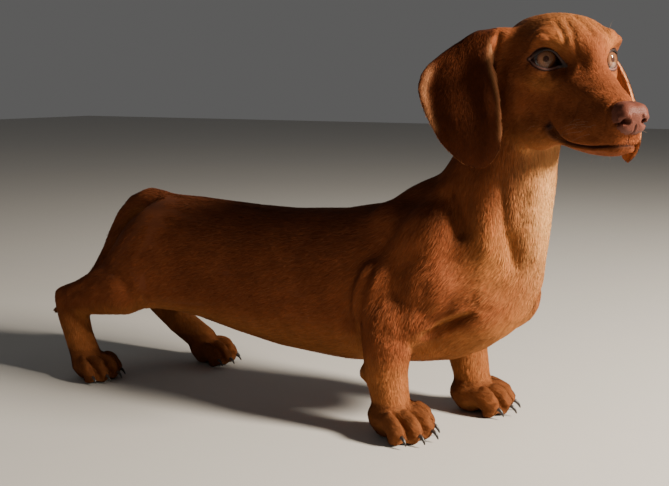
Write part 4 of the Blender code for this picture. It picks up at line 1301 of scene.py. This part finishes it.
# on the chin, brow and cheek: place, heading and length
LONE_WHISKERS = (((60, 6, -70), (-0.5, 0.3, -0.8), 10), ((50, 9, -70), (-0.6, 0.3, -0.75), 11),
                 ((10, 18, 30), (-0.1, 0.35, 0.9), 12), ((6, 22, 28), (-0.3, 0.45, 0.8), 11),
                 ((10, 40, -48), (-0.4, 0.8, -0.4), 13))


def thread(points, radius, sides=5):
    """A tapered hair along a bent line."""
    line = bend(points, 6)
    run = unit_rows(np.gradient(line, axis=0))
    first = unit_rows(np.cross(run, (0.3, 0.2, 0.93)))
    second = np.cross(run, first)
    turn = 2.0 * math.pi * np.arange(sides)[:, None] / sides
    size = radius * np.linspace(1.0, 0.15, len(line))[:, None, None]
    rings = line[:, None] + size * (first[:, None] * np.cos(turn) + second[:, None] * np.sin(turn))
    tip = (len(line) - 1) * sides
    cap = [(tip, tip + k, tip + k + 1) for k in range(1, sides - 1)]
    return rings.reshape(-1, 3), np.vstack([ring_faces(len(line), sides)[:, ::-1], cap])


def whiskers(tree):
    """Short fine whiskers on the lips, chin, brows and cheeks."""
    dice = np.random.default_rng(23)
    roots = []
    for sign in (-1, 1):
        for row, height in enumerate((-34.5, -38.5, -42.5)):
            for place in (69, 61, 53):
                roots.append(((place - 2 * row, sign * 20, height),
                              (-0.55, sign * 0.75, -0.30), 17 * MM))
        roots += [(mirrored(place, sign), mirrored(heading, sign), MM * reach)
                  for place, heading, reach in LONE_WHISKERS]
    parts = []
    for place, heading, reach in roots:
        spot = np.array(place) + dice.normal(0.0, 0.8, 3)
        start = tree.find_nearest(Vector(on_head(spot)))[0]
        way = (np.array(heading) + dice.normal(0.0, 0.10, 3)) @ HEAD_AXES
        way /= np.linalg.norm(way)
        droop = np.array((0.0, 0.0, -1.0)) * reach * dice.uniform(0.05, 0.30)
        reach *= dice.uniform(0.7, 1.2)
        start = np.array(start) - way * MM
        line = [start, start + way * reach * 0.5, start + way * reach + droop]
        parts.append(thread(line, WHISKER))
    return mesh_object("whiskers", *joined(parts))


def add_piece(piece, slot, *nodes):
    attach(piece, "root")
    if nodes:
        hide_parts(*nodes)
    return piece


eyeballs = [add_piece(eyeball(side), "eye_glass", "eye_" + side) for side in SIDES]
corneas = [add_piece(cornea(side), "eye_glass") for side in SIDES]
rims = [add_piece(lid_rims(side), "nose_leather") for side in SIDES]
claws = [add_piece(horn_claw(name), "claw_horn", name)
         for name in sorted(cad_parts) if name.startswith("claw_")]
hairs = add_piece(whiskers(skin.tree()), "coat")

# ---- materials -------------------------------------------------------------

def new_material(name, **plain):
    """A material with its Principled shader, and the shader's plain values."""
    made = bpy.data.materials.new(name)
    made.use_nodes = True
    shader = made.node_tree.nodes["Principled BSDF"]
    for socket, value in plain.items():
        shader.inputs[socket.replace("_", " ")].default_value = value
    return made, made.node_tree, shader


def node(tree, kind, inputs=None, **settings):
    made = tree.nodes.new("ShaderNode" + kind)
    for name, value in settings.items():
        setattr(made, name, value)
    for name, value in (inputs or {}).items():
        socket = made.inputs[name]
        if isinstance(value, bpy.types.NodeSocket):
            tree.links.new(value, socket)
        else:
            socket.default_value = value
    return made


def maths(tree, operation, first, second):
    return node(tree, "Math", {0: first, 1: second}, operation=operation).outputs[0]


def group(name, inputs, outputs):
    """An empty shader node group with named sockets; gives its tree and ends."""
    tree = bpy.data.node_groups.new(name, "ShaderNodeTree")
    for label, kind, value in inputs:
        socket = tree.interface.new_socket(label, in_out="INPUT", socket_type="NodeSocket" + kind)
        if value is not None:
            socket.default_value = value
    for label, kind in outputs:
        tree.interface.new_socket(label, in_out="OUTPUT", socket_type="NodeSocket" + kind)
    return tree, tree.nodes.new("NodeGroupInput").outputs, tree.nodes.new("NodeGroupOutput").inputs


def mottle_group():
    """Base colour made lighter and darker by two sizes of grain, and that grain as height."""
    tree, given, made = group("Mottle", (("Colour", "Color", (1, 1, 1, 1)),
                                         ("Grain", "Float", 900.0), ("Patch", "Float", 60.0),
                                         ("Amount", "Float", 0.25)),
                              (("Colour", "Color"), ("Height", "Float")))
    place = node(tree, "TexCoord").outputs["Object"]
    grain = node(tree, "TexNoise", {"Vector": place, "Scale": given["Grain"], "Detail": 3.0})
    patch = node(tree, "TexNoise", {"Vector": place, "Scale": given["Patch"], "Detail": 2.0})
    both_sizes = maths(tree, "ADD", grain.outputs["Fac"], patch.outputs["Fac"])
    centred = maths(tree, "SUBTRACT", both_sizes, 1.0)
    factor = maths(tree, "ADD", maths(tree, "MULTIPLY", centred, given["Amount"]), 1.0)
    scaled = node(tree, "VectorMath", {0: given["Colour"], "Scale": factor}, operation="SCALE")
    tree.links.new(scaled.outputs["Vector"], made["Colour"])
    tree.links.new(grain.outputs["Fac"], made["Height"])
    return tree


MOTTLE = mottle_group()


def mottled(tree, shader, colour, grain, patch, amount):
    """Gives the shader a mottled base colour, and returns the grain as a height."""
    made = node(tree, "Group", {"Colour": colour, "Grain": grain, "Patch": patch,
                                "Amount": amount}, node_tree=MOTTLE)
    tree.links.new(made.outputs["Colour"], shader.inputs["Base Color"])
    return made.outputs["Height"]


def attribute(tree, name, output="Fac"):
    return node(tree, "Attribute", attribute_name=name).outputs[output]


def roughened(tree, shader, value, low, high):
    """Roughness from low to high as the value goes from 0 to 1."""
    rough = node(tree, "MapRange", {"Value": value, "To Min": low, "To Max": high})
    tree.links.new(rough.outputs["Result"], shader.inputs["Roughness"])


def bumped(tree, shader, height, strength, distance):
    bump = node(tree, "Bump", {"Height": height, "Strength": strength, "Distance": distance})
    tree.links.new(bump.outputs["Normal"], shader.inputs["Normal"])


HAIR_ROUGHNESS = 0.70


def hair_material(name):
    made, tree, shader = new_material(name, Roughness=HAIR_ROUGHNESS, Specular_IOR_Level=0.09,
                                      IOR=1.22, Sheen_Weight=0.01, Sheen_Roughness=0.45,
                                      Sheen_Tint=(1.0, 0.72, 0.50, 1.0))
    height = mottled(tree, shader, attribute(tree, "Hair", "Color"), 1400.0, 90.0, 0.30)
    roughened(tree, shader, height, HAIR_ROUGHNESS - 0.08, HAIR_ROUGHNESS + 0.12)
    return made


def skin_material():
    """Short under-hair, and bare damp leather where the masks say so."""
    made, tree, shader = new_material("Skin", Specular_IOR_Level=0.30, IOR=1.30)
    leather_part = attribute(tree, "Leather")
    grain = mottled(tree, shader, attribute(tree, "Hair", "Color"), 1100.0, 120.0, 0.35)
    place = node(tree, "TexCoord").outputs["Object"]
    pebbles = node(tree, "TexVoronoi", {"Vector": place, "Scale": 1300.0, "Randomness": 0.9},
                   feature="F1")
    pebble_height = maths(tree, "SUBTRACT", 1.0, pebbles.outputs["Distance"])
    height = node(tree, "Mix", {"Factor": leather_part, "A": grain, "B": pebble_height},
                  data_type="FLOAT")
    roughened(tree, shader, leather_part, 0.90, 0.48)
    bumped(tree, shader, height.outputs["Result"], 0.5, 0.0004)
    return made


def ramp(tree, value, stops):
    """A smooth colour scale through stops of (place, colour)."""
    made = node(tree, "ValToRGB", {"Fac": value})
    scale = made.color_ramp
    while len(scale.elements) < len(stops):
        scale.elements.new(0.5)
    for element, (place, colour) in zip(scale.elements, stops):
        element.position = place
        element.color = (*colour, 1.0)
    return made


def eye_material():
    made, tree, shader = new_material("Iris and white of the eye", Roughness=0.6,
                                      Specular_IOR_Level=0.0)
    rays = node(tree, "TexNoise", {"Vector": attribute(tree, "Fibre", "Color"), "Scale": 34.0,
                                   "Detail": 5.0, "Roughness": 0.7})
    share = node(tree, "MapRange", {"Value": attribute(tree, "Reach"), "From Max": 1.6})
    # the dark ring round the iris is its own dark edge with painted shade from the lids
    bands = ramp(tree, share.outputs["Result"],
                 ((0.0, (0.002, 0.0015, 0.001)), (0.142, (0.002, 0.0015, 0.001)),
                  (0.160, (0.020, 0.011, 0.005)), (0.22, (0.142, 0.067, 0.034)),
                  (0.40, (0.130, 0.055, 0.027)), (0.55, (0.060, 0.022, 0.010)),
                  (0.615, (0.010, 0.005, 0.003)), (0.70, (0.026, 0.012, 0.009)),
                  (1.0, (0.012, 0.007, 0.006))))
    lit = node(tree, "MapRange", {"Value": rays.outputs["Fac"], "From Min": 0.3, "From Max": 0.7,
                                  "To Min": 0.62, "To Max": 1.35})
    colour = node(tree, "VectorMath", {0: bands.outputs["Color"], "Scale": lit.outputs["Result"]},
                  operation="SCALE")
    tree.links.new(colour.outputs["Vector"], shader.inputs["Base Color"])
    bumped(tree, shader, rays.outputs["Fac"], 0.35, 0.0002)
    return made


def cornea_material():
    """A clear wet layer: a mirror that shows only as much as clear horn reflects."""
    made, tree, shader = new_material("Clear cornea", Metallic=1.0, Roughness=0.03,
                                      Base_Color=(1.0, 1.0, 1.0, 1.0))
    wet = node(tree, "Fresnel", {"IOR": 1.33})
    tree.links.new(maths(tree, "MINIMUM", wet.outputs["Fac"], 0.13), shader.inputs["Alpha"])
    return made


def rim_material():
    made, tree, shader = new_material("Lid rims", Roughness=0.42, Specular_IOR_Level=0.25,
                                      Coat_Weight=0.08, Coat_Roughness=0.15)
    rim = attribute(tree, "Rim")
    # lower rim: dark lid edge with a pale band near the eyeball that is a painted wet highlight
    lower_rim = ramp(tree, rim, ((0.0, (0.10, 0.035, 0.028)), (0.25, (0.17, 0.080, 0.062)),
                                 (0.55, (0.090, 0.034, 0.025)), (0.85, (0.030, 0.011, 0.008)),
                                 (1.0, (0.036, 0.013, 0.009))))
    # upper rim and nose corner: the lids' own dark edge with painted shade
    upper_rim = ramp(tree, rim, ((0.0, (0.010, 0.005, 0.004)), (0.5, (0.018, 0.008, 0.006)),
                                 (1.0, (0.045, 0.016, 0.010))))
    colour = node(tree, "Mix", {"Factor": attribute(tree, "Upper")}, data_type="RGBA")
    tree.links.new(lower_rim.outputs["Color"], colour.inputs["A"])
    tree.links.new(upper_rim.outputs["Color"], colour.inputs["B"])
    height = mottled(tree, shader, colour.outputs["Result"], 1800.0, 400.0, 0.4)
    bumped(tree, shader, height, 0.35, 0.0002)
    return made


def claw_material():
    made, tree, shader = new_material("Claw horn", Roughness=0.34, Specular_IOR_Level=0.5,
                                      Coat_Weight=0.15, Coat_Roughness=0.25)
    colour = ramp(tree, attribute(tree, "Tip"),
                  ((0.0, (0.060, 0.030, 0.018)), (0.35, (0.018, 0.012, 0.010)),
                   (0.85, (0.012, 0.009, 0.008)), (1.0, (0.050, 0.036, 0.028))))
    height = mottled(tree, shader, colour.outputs["Color"], 1500.0, 300.0, 0.6)
    bumped(tree, shader, height, 0.3, 0.0003)
    return made


def whisker_material():
    made, tree, shader = new_material("Whisker", Roughness=0.4)
    mottled(tree, shader, (0.20, 0.11, 0.06, 1.0), 500.0, 60.0, 0.5)
    return made


COAT_HAIR = hair_material("Smooth red coat")
EAR_HAIR = hair_material("Fine ear coat")
finishes = [(body, skin_material()), (hairs, whisker_material())]
finishes += [(piece, EAR_HAIR if "ears" in piece.name else COAT_HAIR) for piece in coat]
horn, iris, clear, lid = claw_material(), eye_material(), cornea_material(), rim_material()
finishes += [(piece, horn) for piece in claws] + [(piece, iris) for piece in eyeballs]
finishes += [(piece, clear) for piece in corneas] + [(piece, lid) for piece in rims]
for piece, finish in finishes:
    piece.data.materials.append(finish)

# ---- plain stage -----------------------------------------------------------

CAMERA_AT = (547.6, -841.3, 310)         # on the drawing
CAMERA_TURN = math.radians(30.5)
CAMERA_DIP = math.radians(8.9075)
FOCUS = 1040.0                           # pixels
IMAGE_WIDTH = 669.0                      # pixels
SENSOR_WIDTH = 36.0                      # millimetres
FLOOR = ((-6, -6, 0), (6, -6, 0), (6, 6, 0), (-6, 6, 0))

camera = bpy.data.objects.new("camera", bpy.data.cameras.new("camera"))
bpy.context.scene.collection.objects.link(camera)
camera.location = on_body(CAMERA_AT)
camera.rotation_euler = (math.pi / 2 - CAMERA_DIP, 0.0, CAMERA_TURN)
camera.data.sensor_width = SENSOR_WIDTH
camera.data.lens = SENSOR_WIDTH * FOCUS / IMAGE_WIDTH
bpy.context.scene.camera = camera
floor = mesh_object("floor", np.array(FLOOR, float), np.array([(0, 1, 2, 3)]))
floor_material, floor_tree, floor_shader = new_material("Plain floor", Roughness=0.75)
mottled(floor_tree, floor_shader, (0.48, 0.465, 0.44, 1.0), 30.0, 3.0, 0.03)
floor.data.materials.append(floor_material)

world = bpy.data.worlds.new("studio")
bpy.context.scene.world = world
world.use_nodes = True
backdrop = world.node_tree.nodes["Background"]
backdrop.inputs["Color"].default_value = (0.86, 0.85, 0.84, 1.0)
backdrop.inputs["Strength"].default_value = 0.13


def soft_light(name, place, target, size, power, colour):
    lamp = bpy.data.lights.new(name, "AREA")
    lamp.shape = "DISK"
    lamp.size = size
    lamp.energy = power
    lamp.color = colour
    obj = bpy.data.objects.new(name, lamp)
    bpy.context.scene.collection.objects.link(obj)
    obj.location = on_body(place)
    aim = Vector(on_body(target)) - obj.location
    obj.rotation_euler = aim.to_track_quat("-Z", "Y").to_euler()


soft_light("key", (1740, 20, 1020), (120, 0, 160), 0.40, 140.0, (1.0, 0.90, 0.76))
soft_light("fill", (-600, -1500, 600), (0, 0, 120), 1.20, 0.6, (1.0, 0.93, 0.86))
soft_light("rim", (-400, 1300, 1100), (0, 0, 150), 0.80, 1.0, (1.0, 0.97, 0.92))
